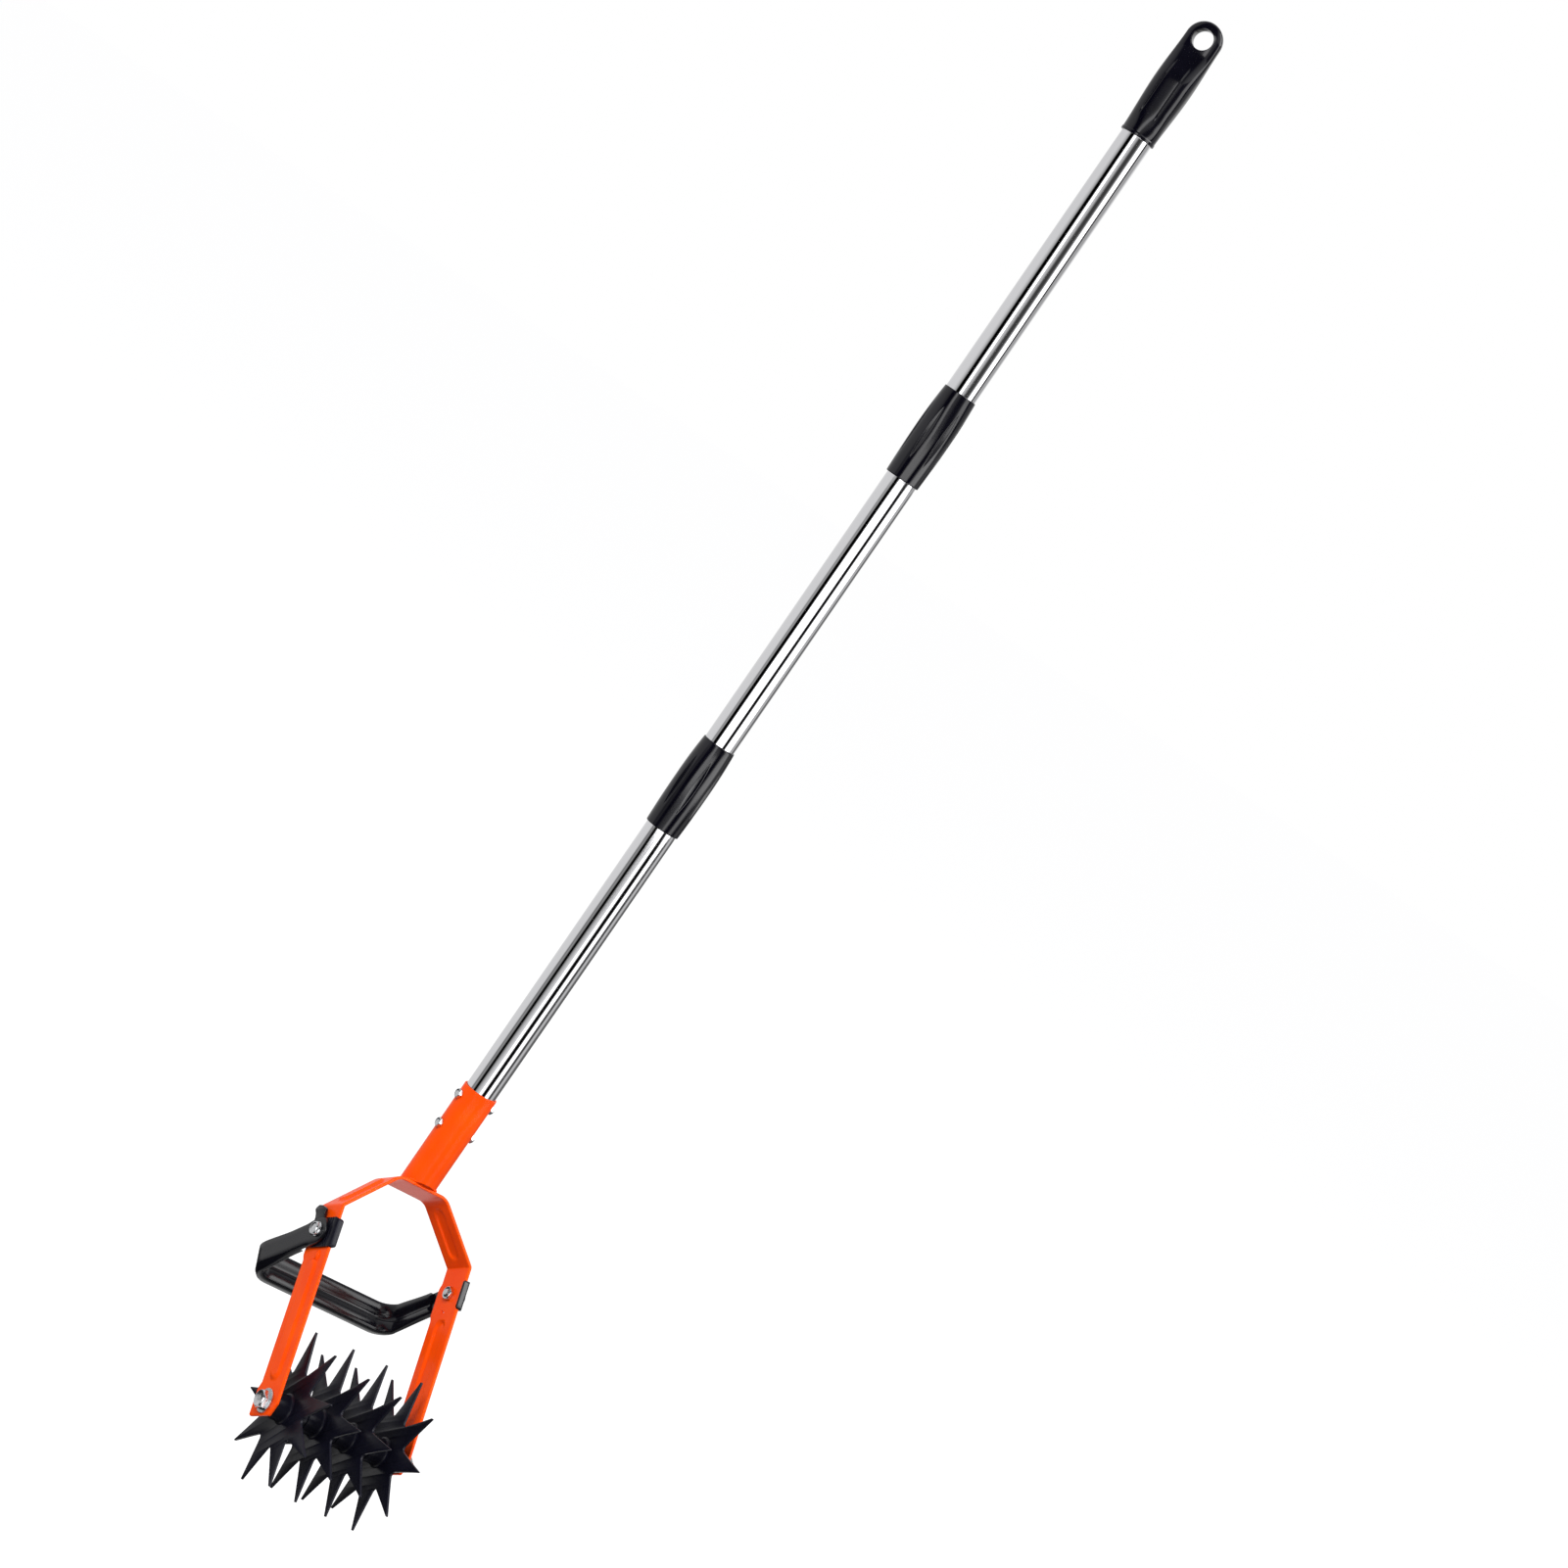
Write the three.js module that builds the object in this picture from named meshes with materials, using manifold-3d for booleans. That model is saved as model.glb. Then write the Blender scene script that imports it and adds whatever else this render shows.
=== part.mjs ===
// Rotary hand cultivator: four toothed star wheels spin on an axle between the arms of a bent strip yoke,
// a foot bar folds on the yoke's arms, and a three-section pole with a hanging grip carries the yoke.
// Millimetres. +Z runs up the pole, +X along the axle. The origin is the middle of the grip's hanging hole.
import * as THREE from "three";
import { mergeVertices } from "three/addons/utils/BufferGeometryUtils.js";
import Module from "manifold-3d";

const wasm = await Module();
wasm.setup();

// Clearances and facets
const FIT = 0.3;
const OVERRUN = 3;
const WELD_DISTANCE = 0.0001;
const ROUND_SIDES = 24;
const SMALL_SIDES = 12;
const HEX_SIDES = 6;
const CORNER_STEPS = 3;
const GROOVE_SIDES = 6;
const GROOVE_STEPS = 6;
const POINT_SHARE = 0.03;

// Pole: three tubes joined end to end
const TUBE_DIAMETER = 25;
const TUBE_WALL = 1;
const LOWER_TUBE_LENGTH = 329.4;
const MIDDLE_TUBE_LENGTH = 309.6;
const UPPER_TUBE_LENGTH = 306.5;
const TUBE_FOOT_HEIGHT = 40;
const CORE_COLLAR = 3.4;
const CORE_PLUG_LENGTH = 30;
const CORE_BORE = 12;

// Connectors over the joints of the pole
const CONNECTOR_LENGTH = 76;
const CONNECTOR_EDGE = 0.7;
const CONNECTOR_FOOT_RADIUS = 13.8;
const CONNECTOR_RADII = [13.8, 14.4, 14.7, 14.6, 14.1, 13.3];
const CONNECTOR_HEIGHT_SHARES = [0.02, 0.22, 0.5, 0.7, 0.87, 1];
const CONNECTOR_GROOVES = 7;
const CONNECTOR_GROOVE_LENGTH = 46;
const CONNECTOR_GROOVE_RISE = 1.5;
const CONNECTOR_GROOVE_WIDTH = 4.4;
const CONNECTOR_GROOVE_DEPTH = 1.2;
const LOWER_CONNECTOR_TURN = THREE.MathUtils.degToRad(18.6);
const UPPER_CONNECTOR_TURN = THREE.MathUtils.degToRad(-11.5);

// Grip with its hanging hole
const GRIP_OVER_TUBE = 45;
const HOLE_ABOVE_TUBE = 39.7;
const GRIP_MOUTH_DIAMETER = 27.4;
const GRIP_MOUTH_LIP = 2.2;
const GRIP_LIP_STEP = 0.3;
const GRIP_WIDEST = 31;
const GRIP_WIDEST_BELOW_HOLE = 39;
const GRIP_END_RADIUS = 14.3;
const GRIP_FLAT_THICKNESS = 12;
const GRIP_FLAT_BELOW_HOLE = 13;
const GRIP_HOLE_DIAMETER = 16;
const GRIP_HOLE_BEVEL = 1.2;
const GRIP_ROUND_POWER = 2;
const GRIP_FLAT_POWER = 3.2;
const GRIP_BODY_SHARES = [0.12, 0.35, 0.5, 0.6, 0.7, 0.79, 0.88, 1];
const GRIP_END_SHARES = [0.35, 0.62, 0.82, 0.94, 0.995];
const GRIP_TURN = THREE.MathUtils.degToRad(-45);
const GRIP_GROOVE_LENGTH = 49;
const GRIP_GROOVE_ABOVE_MOUTH = 21;
const GRIP_GROOVE_WIDTH = 3.2;
const GRIP_GROOVE_DEPTH = 1.1;
const GRIP_GROOVE_SPACING = 12.6;

// Socket on the yoke, with its weld and its two cross bolts
const SOCKET_WALL = 1.2;
const SOCKET_HEIGHT = 93;
const SOCKET_BOLT_HEIGHTS = [57.6, 84];
const SOCKET_BOLT = { shank: 4, flats: 7, head: 2.8, nut: 3.2, tail: 1.2 };
const WELD_BEAD = 3.6;
const WELD_SIDES = 8;

// Yoke: one strip bent to a top plate, two sloping shoulders and two arms
const HEAD_BEND = THREE.MathUtils.degToRad(32.4);
const STRIP_WIDTH = 30;
const STRIP_THICKNESS = 2.5;
const YOKE_WIDTH = 124;
const TOP_PLATE_WIDTH = 45;
const TOP_PLATE_RISE = 4;
const SHOULDER_DROP = 35.8;
const TOP_BEND_RADIUS = 14;
const SHOULDER_BEND_RADIUS = 4.5;
const AXLE_DROP = 189.5;
const ARM_BELOW_AXLE = 11;
const PIVOT_DROP = 57.7;
const EAR_DEPTH = 2;
const EAR_ABOVE_PIVOT = 4;
const EAR_BELOW_PIVOT = 17;
const EAR_RAMP = 5;
const FOOT_EAR_DEPTH = 3;
const FOOT_EAR_HEIGHT = 15;
const FRONT_CORNER_WIDTH = 6;
const FRONT_CORNER_HEIGHT = 9;
const REAR_CORNER = 1.5;
const RIB_WIDTH = 14;
const RIB_SLOPE = 2.6;
const RIB_HEIGHT = 1.7;
const RIB_END_SHARES = [0, 0.5, 1, 2.4];
const TOP_BEND_STEPS = 5;
const SHOULDER_BEND_STEPS = 4;
const SHOULDER_RIB_LENGTH = 42.5;
const SHOULDER_RIB_MARGIN = 0.6;
const ARM_RIB_BELOW_PIVOT = 20.5;
const ARM_RIB_ABOVE_AXLE = 16;
const TAB_RINGS = 8;
const TAB = { length: 9, width: 4.5, height: 1.6, forward: 4, belowBracket: 2.4 };
const KEY_SLOT = { length: 4.6, width: 1.6, back: 2.3, belowPivot: 14.4, turn: THREE.MathUtils.degToRad(61) };

// Star wheels on their hub tubes
const WHEEL_COUNT = 4;
const WHEEL_TEETH = 9;
const WHEEL_TIP_RADIUS = 60;
const WHEEL_VALLEY_RADIUS = 30;
const WHEEL_THICKNESS = 2;
const TOOTH_TIP_WIDTH = 0.9;
const TOOTH_WAIST_RADIUS = 41;
const TOOTH_WAIST_WIDTH = 9.6;
const VALLEY_ROUND = 2.2;
const FLANK_STEPS = 4;
const WHEEL_TURNS = [-22.4, -14.4, -11.6, -5.5].map(THREE.MathUtils.degToRad);
const HUB_DIAMETER = 21;
const HUB_SIDES = 24;
const SIDE_PLAY = 0.4;

// Axle through the arms
const AXLE_BOLT = { shank: 8, flats: 13, head: 5.3, nut: 6.5, tail: 2.5 };
const AXLE_SLEEVE_DIAMETER = 12;
const AXLE_WASHER_DIAMETER = 19;
const AXLE_WASHER_THICKNESS = 1.6;

// Brackets that hook over the front edges of the arms
const BRACKET_SHEET = 1.7;
const BRACKET_LIP_REACH = 6.6;
const BRACKET_LIP_THICKNESS = 2.2;
const BRACKET_BACK = 10;
const BRACKET_ABOVE_PIVOT = 10.6;
const BRACKET_BELOW_PIVOT = 12.6;
const BRACKET_CORNER = 3;
const BRACKET_GROOVE_WIDTH = 1.5;
const BRACKET_GROOVE_DEPTH = 0.6;
const BRACKET_GROOVES_BACK = [2.6, 5.4];

// Foot bar: a U of deep ridged bar that ends in flat rounded straps
const BAR_ANGLE = THREE.MathUtils.degToRad(-14);
const BAR_REACH = 84;
const BAR_DEPTH = 6.4;
const BAR_CROSS_DEPTH = 10;
const BAR_STRAP = 2.8;
const BAR_STRAP_HEIGHT = 21;
const BAR_ARM_HEIGHT = 19.8;
const BAR_CROSS_HEIGHT = 24.4;
const BAR_RISE = 0.6;
const BAR_ARM_PLACES = [4, 18, 45, 53, 61];
const BAR_CORNER_RADIUS = 15;
const BAR_EDGE_ROUND = 1.6;
const BAR_GROOVE_DEPTH = 2.4;
const BAR_STOP_DISTANCE = 20.4;
const BAR_RELIEF_DISTANCE = 28.6;
const BAR_RELIEF_FOOT = 4;
const BAR_CORNER_STEPS = 6;
const BAR_END_SHARES = [-0.995, -0.94, -0.82, -0.6, -0.3, 0];
const BAR_OUTER_SHARES = [[0, 0], [0.5, 0], [0.86, 0], [0.96, 0.35], [1, 1]];
const BAR_RIDGE_SHARES = [[1, 1.6], [0.93, 0.5], [0.78, 0], [0.55, 0]];
const BAR_GROOVE_SHARES = [[0.3, 0.2], [0.1, 0.7], [0, 1]];
const PIVOT_BOLT = { shank: 6, flats: 10, head: 4, nut: 3.4, tail: 0.5 };
const PIVOT_FLANGE_DIAMETER = 11.6;
const PIVOT_FLANGE_THICKNESS = 1.2;
const HORN = { height: 20, base: 9, beak: 12.5, beakHeight: 17, front: 1.5 };

// Places that follow from the sizes above
const tubeRadius = TUBE_DIAMETER / 2;
const sleeveRadius = tubeRadius + FIT;
const lowerTubeTop = TUBE_FOOT_HEIGHT + LOWER_TUBE_LENGTH;
const middleTubeFoot = lowerTubeTop + CORE_COLLAR + 2 * FIT;
const middleTubeTop = middleTubeFoot + MIDDLE_TUBE_LENGTH;
const upperTubeFoot = middleTubeTop + CORE_COLLAR + 2 * FIT;
const upperTubeTop = upperTubeFoot + UPPER_TUBE_LENGTH;
const holeHeight = upperTubeTop + HOLE_ABOVE_TUBE;
const socketRadius = sleeveRadius + SOCKET_WALL;
const armOutside = YOKE_WIDTH / 2;
const armInside = armOutside - STRIP_THICKNESS;
const armFoot = AXLE_DROP + ARM_BELOW_AXLE;
const halfStrip = STRIP_WIDTH / 2;
const hubLength = (2 * armInside - (WHEEL_COUNT + 1) * SIDE_PLAY) / WHEEL_COUNT;
const hubPitch = hubLength + SIDE_PLAY;
const hubRadius = HUB_DIAMETER / 2;
const axleSleeveRadius = AXLE_SLEEVE_DIAMETER / 2;
const bracketInside = armOutside + FIT;
const bracketOutside = bracketInside + BRACKET_SHEET;
const strapInside = bracketOutside + FIT;
const barOutside = strapInside + BAR_STRAP;

// Finishes
const orangePaint = new THREE.MeshStandardMaterial({ color: 0xff5512, roughness: 0.35, metalness: 0 });
const blackPaint = new THREE.MeshStandardMaterial({ color: 0x1b1c21, roughness: 0.42, metalness: 0 });
const blackPlastic = new THREE.MeshStandardMaterial({ color: 0x141518, roughness: 0.5, metalness: 0 });
const polishedSteel = new THREE.MeshStandardMaterial({ color: 0xd5d7da, roughness: 0.12, metalness: 1 });
const zincSteel = new THREE.MeshStandardMaterial({ color: 0xb9bcc0, roughness: 0.3, metalness: 1 });

// Solids

function signedVolume(geometry) {
  const at = geometry.attributes.position;
  const corners = [0, 1, 2].map(() => new THREE.Vector3());
  let sum = 0;
  for (let i = 0; i < geometry.index.count; i += 3) {
    corners.forEach((corner, k) => corner.fromBufferAttribute(at, geometry.index.getX(i + k)));
    sum += corners[0].dot(corners[1].cross(corners[2]));
  }
  return sum;
}

// The closed solid of a geometry, with its faces turned outwards.
function solidOf(geometry) {
  const bare = geometry.clone();
  bare.deleteAttribute("normal");
  bare.deleteAttribute("uv");
  const merged = mergeVertices(bare, WELD_DISTANCE);
  const triangles = new Uint32Array(merged.index.array);
  if (signedVolume(merged) < 0) triangles.reverse();
  const mesh = new wasm.Mesh({
    numProp: 3,
    vertProperties: merged.attributes.position.array,
    triVerts: triangles,
  });
  return new wasm.Manifold(mesh);
}

function geometryOf(solid) {
  const mesh = solid.getMesh();
  const geometry = new THREE.BufferGeometry();
  geometry.setAttribute("position", new THREE.BufferAttribute(new Float32Array(mesh.vertProperties), 3));
  geometry.setIndex(new THREE.BufferAttribute(new Uint32Array(mesh.triVerts), 1));
  geometry.computeVertexNormals();
  return geometry;
}

function joined(...geometries) {
  return geometryOf(geometries.map(solidOf).reduce((whole, piece) => whole.add(piece)));
}

function cut(geometry, ...tools) {
  return geometryOf(tools.map(solidOf).reduce((whole, tool) => whole.subtract(tool), solidOf(geometry)));
}

function kept(geometry, frame) {
  return geometryOf(solidOf(geometry).intersect(solidOf(frame)));
}

// The same piece for the other side of the tool.
function mirrored(geometry) {
  return geometryOf(solidOf(geometry.clone().scale(-1, 1, 1)));
}

// A solid of revolution about Z. The profile is a list of [radius, height].
function revolved(profile, sides = ROUND_SIDES) {
  const points = profile.map(([radius, height]) => new THREE.Vector2(radius, height));
  return new THREE.LatheGeometry(points, sides).rotateX(Math.PI / 2);
}

function ring(outer, inner, length, sides = ROUND_SIDES) {
  return revolved([[inner, 0], [outer, 0], [outer, length], [inner, length], [inner, 0]], sides);
}

function rod(radius, length, sides = ROUND_SIDES) {
  return revolved([[0, 0], [radius, 0], [radius, length], [0, length]], sides);
}

// Turns a piece made about Z so that Z becomes X, X becomes Y and Y becomes Z.
function alongX(geometry) {
  const toY = new THREE.Vector3(0, 1, 0);
  const toZ = new THREE.Vector3(0, 0, 1);
  const toX = new THREE.Vector3(1, 0, 0);
  return geometry.applyMatrix4(new THREE.Matrix4().makeBasis(toY, toZ, toX));
}

// A plate drawn as [y, z] points and raised along X, with holes given the same way.
function plate(outline, thickness, holes = []) {
  const shape = new THREE.Shape(outline.map(([y, z]) => new THREE.Vector2(y, z)));
  shape.holes = holes.map((hole) => new THREE.Path(hole.map(([y, z]) => new THREE.Vector2(y, z))));
  return alongX(new THREE.ExtrudeGeometry(shape, { depth: thickness, bevelEnabled: false }));
}

function arcPoints(centre, radius, from, to, steps) {
  return Array.from({ length: steps + 1 }, (_, i) => {
    const angle = from + ((to - from) * i) / steps;
    return [centre[0] + radius * Math.cos(angle), centre[1] + radius * Math.sin(angle)];
  });
}

// Outline of a rectangle with round corners, as [y, z] points.
function roundedRectangle(left, right, low, high, radius) {
  const corner = (y, z, quarter) =>
    arcPoints([y, z], radius, (quarter * Math.PI) / 2, ((quarter + 1) * Math.PI) / 2, CORNER_STEPS);
  return [
    ...corner(right - radius, high - radius, 0),
    ...corner(left + radius, high - radius, 1),
    ...corner(left + radius, low + radius, 2),
    ...corner(right - radius, low + radius, 3),
  ];
}

// A closed solid through rings of points. The ends are closed by fans, or the last ring meets the first.
function loft(rings, looped = false) {
  const count = rings[0].length;
  const points = rings.flat();
  const faces = [];
  const spans = looped ? rings.length : rings.length - 1;
  for (let i = 0; i < spans; i++) {
    const next = ((i + 1) % rings.length) * count;
    for (let j = 0; j < count; j++) {
      const k = (j + 1) % count;
      faces.push(i * count + j, i * count + k, next + k);
      faces.push(i * count + j, next + k, next + j);
    }
  }
  const closeEnd = (first, flip) => {
    const end = points.slice(first, first + count);
    const middle = end.reduce((sum, p) => sum.add(p), new THREE.Vector3()).divideScalar(count);
    const centre = points.push(middle) - 1;
    for (let j = 0; j < count; j++) {
      const pair = [first + j, first + ((j + 1) % count)];
      if (flip) pair.reverse();
      faces.push(centre, ...pair);
    }
  };
  if (!looped) {
    closeEnd(0, true);
    closeEnd((rings.length - 1) * count, false);
  }
  const geometry = new THREE.BufferGeometry().setFromPoints(points);
  geometry.setIndex(faces);
  return geometry;
}

// A pointed spindle along a list of centres: a moulded groove is cut with it.
function spindle(centres, width, depth, across, outwards) {
  const last = centres.length - 1;
  const rings = centres.map((centre, i) => {
    const swell = Math.max(Math.sin((Math.PI * i) / last), POINT_SHARE);
    return Array.from({ length: GROOVE_SIDES }, (_, k) => {
      const angle = (2 * Math.PI * k) / GROOVE_SIDES;
      return centre
        .clone()
        .addScaledVector(across, (width / 2) * swell * Math.cos(angle))
        .addScaledVector(outwards, depth * swell * Math.sin(angle));
    });
  });
  return loft(rings);
}

function named(name, geometry, material, group) {
  const mesh = new THREE.Mesh(geometry, material);
  mesh.name = name;
  group.add(mesh);
  return mesh;
}

// Fasteners, made along +X from the face that they seat on

function hexagon(flats, thickness) {
  return alongX(rod(flats / Math.sqrt(3), thickness, HEX_SIDES));
}

// The seat of the head is at x = 0 and the shank runs along +X.
function hexBolt(size, shankLength) {
  const head = hexagon(size.flats, size.head).translate(-size.head, 0, 0);
  const shank = alongX(rod(size.shank / 2, shankLength + FIT, SMALL_SIDES)).translate(-FIT, 0, 0);
  return joined(head, shank);
}

// The nut seats at x = 0 and stands out along +X.
function hexNut(size) {
  const bore = alongX(rod(size.shank / 2 + FIT, size.nut + 2 * OVERRUN, SMALL_SIDES));
  return cut(hexagon(size.flats, size.nut), bore.translate(-OVERRUN, 0, 0));
}

function crossHole(diameter, halfLength) {
  const tool = alongX(rod(diameter / 2 + FIT, 2 * halfLength, SMALL_SIDES));
  return tool.translate(-halfLength, 0, 0);
}

// Pole

function tube(length) {
  return ring(tubeRadius, tubeRadius - TUBE_WALL, length);
}

// The lowest tube is drilled for the socket bolts.
function drilledTube() {
  const holes = SOCKET_BOLT_HEIGHTS.map((height) =>
    crossHole(SOCKET_BOLT.shank, TUBE_DIAMETER).translate(0, 0, height - TUBE_FOOT_HEIGHT),
  );
  return cut(tube(LOWER_TUBE_LENGTH), ...holes);
}

// A plug in the ends of two tubes with a collar between them.
function core() {
  const plug = tubeRadius - TUBE_WALL - FIT;
  const bore = CORE_BORE / 2;
  const collar = CORE_COLLAR / 2;
  const end = collar + CORE_PLUG_LENGTH;
  return revolved([
    [bore, -end], [plug, -end], [plug, -collar], [tubeRadius, -collar],
    [tubeRadius, collar], [plug, collar], [plug, end], [bore, end], [bore, -end],
  ]);
}

function connector() {
  const half = CONNECTOR_LENGTH / 2;
  const barrel = CONNECTOR_HEIGHT_SHARES.map((share, i) => [CONNECTOR_RADII[i], share * CONNECTOR_LENGTH - half]);
  const body = revolved([
    [sleeveRadius, -half],
    [CONNECTOR_FOOT_RADIUS - CONNECTOR_EDGE, -half],
    ...barrel,
    [sleeveRadius, half],
    [sleeveRadius, -half],
  ]);
  const middle = Math.max(...CONNECTOR_RADII);
  const grooves = Array.from({ length: CONNECTOR_GROOVES }, (_, i) => {
    const angle = (2 * Math.PI * (i + 0.5)) / CONNECTOR_GROOVES;
    const outwards = new THREE.Vector3(Math.cos(angle), Math.sin(angle), 0);
    const across = new THREE.Vector3(-Math.sin(angle), Math.cos(angle), 0);
    const centres = Array.from({ length: GROOVE_STEPS + 1 }, (_, k) => {
      const centre = outwards.clone().multiplyScalar(middle);
      return centre.setZ(CONNECTOR_GROOVE_RISE + CONNECTOR_GROOVE_LENGTH * (k / GROOVE_STEPS - 0.5));
    });
    return spindle(centres, CONNECTOR_GROOVE_WIDTH, CONNECTOR_GROOVE_DEPTH, across, outwards);
  });
  return cut(body, ...grooves);
}

// Grip

// Half width, half thickness and squareness of the grip at a height above the hanging hole.
function gripSection(height) {
  const mouth = -(GRIP_OVER_TUBE + HOLE_ABOVE_TUBE);
  const mix = (from, to, low, high) => {
    const share = THREE.MathUtils.smoothstep(height, low, high);
    return from + (to - from) * share;
  };
  const mouthRadius = GRIP_MOUTH_DIAMETER / 2;
  const widest = GRIP_WIDEST / 2;
  const round = Math.sqrt(Math.max(1 - (Math.max(height, 0) / GRIP_END_RADIUS) ** 2, 0));
  const swelling = mix(mouthRadius, widest, mouth, -GRIP_WIDEST_BELOW_HOLE);
  const narrowing = mix(widest, GRIP_END_RADIUS, -GRIP_WIDEST_BELOW_HOLE, 0) / widest;
  return {
    width: swelling * narrowing * round,
    thickness: mix(mouthRadius, GRIP_FLAT_THICKNESS / 2, -HOLE_ABOVE_TUBE, -GRIP_FLAT_BELOW_HOLE) *
      Math.sqrt(Math.max(round, 0)),
    power: mix(GRIP_ROUND_POWER, GRIP_FLAT_POWER, -HOLE_ABOVE_TUBE, -GRIP_FLAT_BELOW_HOLE),
  };
}

function gripRing(height, step = 0) {
  const { width, thickness, power } = gripSection(height);
  return Array.from({ length: ROUND_SIDES }, (_, i) => {
    const angle = (2 * Math.PI * i) / ROUND_SIDES;
    const cos = Math.cos(angle);
    const sin = Math.sin(angle);
    const x = Math.sign(cos) * Math.abs(cos) ** (2 / power);
    const y = Math.sign(sin) * Math.abs(sin) ** (2 / power);
    return new THREE.Vector3(x * (width + step), y * (thickness + step), height);
  });
}

function gripGroove(side, x) {
  const mouth = -(GRIP_OVER_TUBE + HOLE_ABOVE_TUBE);
  const foot = mouth + GRIP_GROOVE_ABOVE_MOUTH;
  const centres = Array.from({ length: GROOVE_STEPS + 1 }, (_, i) => {
    const height = foot + (GRIP_GROOVE_LENGTH * i) / GROOVE_STEPS;
    const { width, thickness, power } = gripSection(height);
    const y = thickness * (1 - Math.abs(x / width) ** power) ** (1 / power);
    return new THREE.Vector3(x, side * y, height);
  });
  const across = new THREE.Vector3(1, 0, 0);
  const outwards = new THREE.Vector3(0, side, 0);
  return spindle(centres, GRIP_GROOVE_WIDTH, GRIP_GROOVE_DEPTH, across, outwards);
}

function grip() {
  const mouth = -(GRIP_OVER_TUBE + HOLE_ABOVE_TUBE);
  const lip = mouth + GRIP_MOUTH_LIP;
  const rings = [
    gripRing(mouth, GRIP_LIP_STEP),
    gripRing(lip, GRIP_LIP_STEP),
    gripRing(lip + GRIP_LIP_STEP),
    ...GRIP_BODY_SHARES.map((share) => gripRing(mouth * (1 - share))),
    ...GRIP_END_SHARES.map((share) => gripRing(share * GRIP_END_RADIUS)),
  ];
  const bore = rod(sleeveRadius, GRIP_OVER_TUBE + FIT + OVERRUN).translate(0, 0, mouth - OVERRUN);
  const half = GRIP_FLAT_THICKNESS / 2 + OVERRUN;
  const holeRadius = GRIP_HOLE_DIAMETER / 2;
  const bevel = GRIP_HOLE_BEVEL + OVERRUN;
  const hole = revolved([
    [0, -half], [holeRadius + bevel, -half], [holeRadius, bevel - half],
    [holeRadius, half - bevel], [holeRadius + bevel, half], [0, half],
  ]).rotateX(Math.PI / 2);
  const grooves = [-1, 1].flatMap((side) =>
    [-GRIP_GROOVE_SPACING / 2, GRIP_GROOVE_SPACING / 2].map((x) => gripGroove(side, x)),
  );
  return cut(loft(rings), bore, hole, ...grooves);
}

// Socket, cut square to the yoke's plate at its foot, with the weld bead round it

function weldBead() {
  const bead = WELD_BEAD / 2;
  const halfLength = socketRadius / Math.cos(HEAD_BEND);
  const middle = -TOP_PLATE_RISE * Math.tan(HEAD_BEND);
  const edge = halfStrip - FIT;
  const rings = Array.from({ length: ROUND_SIDES }, (_, i) => {
    const angle = (2 * Math.PI * i) / ROUND_SIDES;
    const outwards = new THREE.Vector3(Math.cos(angle), Math.sin(angle), 0);
    const across = THREE.MathUtils.clamp(middle + halfLength * Math.sin(angle), -edge, edge);
    const centre = new THREE.Vector3(socketRadius * Math.cos(angle), across, TOP_PLATE_RISE + FIT);
    return Array.from({ length: WELD_SIDES }, (_, k) => {
      const turn = (2 * Math.PI * k) / WELD_SIDES;
      const point = centre.clone().addScaledVector(outwards, bead * Math.cos(turn));
      return point.setZ(centre.z + bead * Math.sin(turn));
    });
  });
  return loft(rings, true).rotateX(-HEAD_BEND);
}

function socket() {
  const depth = socketRadius * Math.tan(HEAD_BEND) + WELD_BEAD;
  const body = ring(socketRadius, sleeveRadius, SOCKET_HEIGHT + depth).translate(0, 0, -depth);
  const size = 4 * SOCKET_HEIGHT;
  const foot = TOP_PLATE_RISE + FIT;
  const below = new THREE.BoxGeometry(size, size, size).translate(0, 0, foot - size / 2).rotateX(-HEAD_BEND);
  const bore = rod(sleeveRadius, SOCKET_HEIGHT + depth).translate(0, 0, -depth);
  const holes = SOCKET_BOLT_HEIGHTS.map((height) =>
    crossHole(SOCKET_BOLT.shank, TUBE_DIAMETER).translate(0, 0, height),
  );
  return cut(joined(body, cut(weldBead(), bore)), below, ...holes);
}

// Yoke

// How far a pressed rib stands out at a place along the strip and across it.
function ribHeight(along, across, start, end) {
  const half = RIB_WIDTH / 2;
  const nearest = THREE.MathUtils.clamp(along, start + half, end - half);
  const distance = Math.hypot(along - nearest, across);
  return RIB_HEIGHT * THREE.MathUtils.smoothstep(half - distance, 0, RIB_SLOPE);
}

// Places along a rib where its ends need rings.
function ribPlaces(start, end) {
  const near = RIB_END_SHARES.map((share) => share * RIB_SLOPE);
  return [...near.map((d) => start + d), ...near.map((d) => end - d).reverse()];
}

// Rear and front edge of an arm at a height below the top plate.
function armEdges(depth) {
  const ramp = (from, to) => THREE.MathUtils.clamp((depth - from) / (to - from), 0, 1);
  const earTop = PIVOT_DROP - EAR_ABOVE_PIVOT;
  const earFoot = PIVOT_DROP + EAR_BELOW_PIVOT;
  const ear = EAR_DEPTH * Math.min(ramp(earTop - EAR_RAMP, earTop), 1 - ramp(earFoot, earFoot + EAR_RAMP));
  const footEarTop = AXLE_DROP - FOOT_EAR_HEIGHT;
  const footEar = FOOT_EAR_DEPTH * ramp(footEarTop, footEarTop + EAR_RAMP);
  const rearCorner = REAR_CORNER * ramp(armFoot - REAR_CORNER, armFoot);
  const frontCorner = FRONT_CORNER_WIDTH * ramp(armFoot - FRONT_CORNER_HEIGHT, armFoot);
  return { rear: halfStrip + ear + footEar - rearCorner, front: frontCorner - halfStrip };
}

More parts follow.
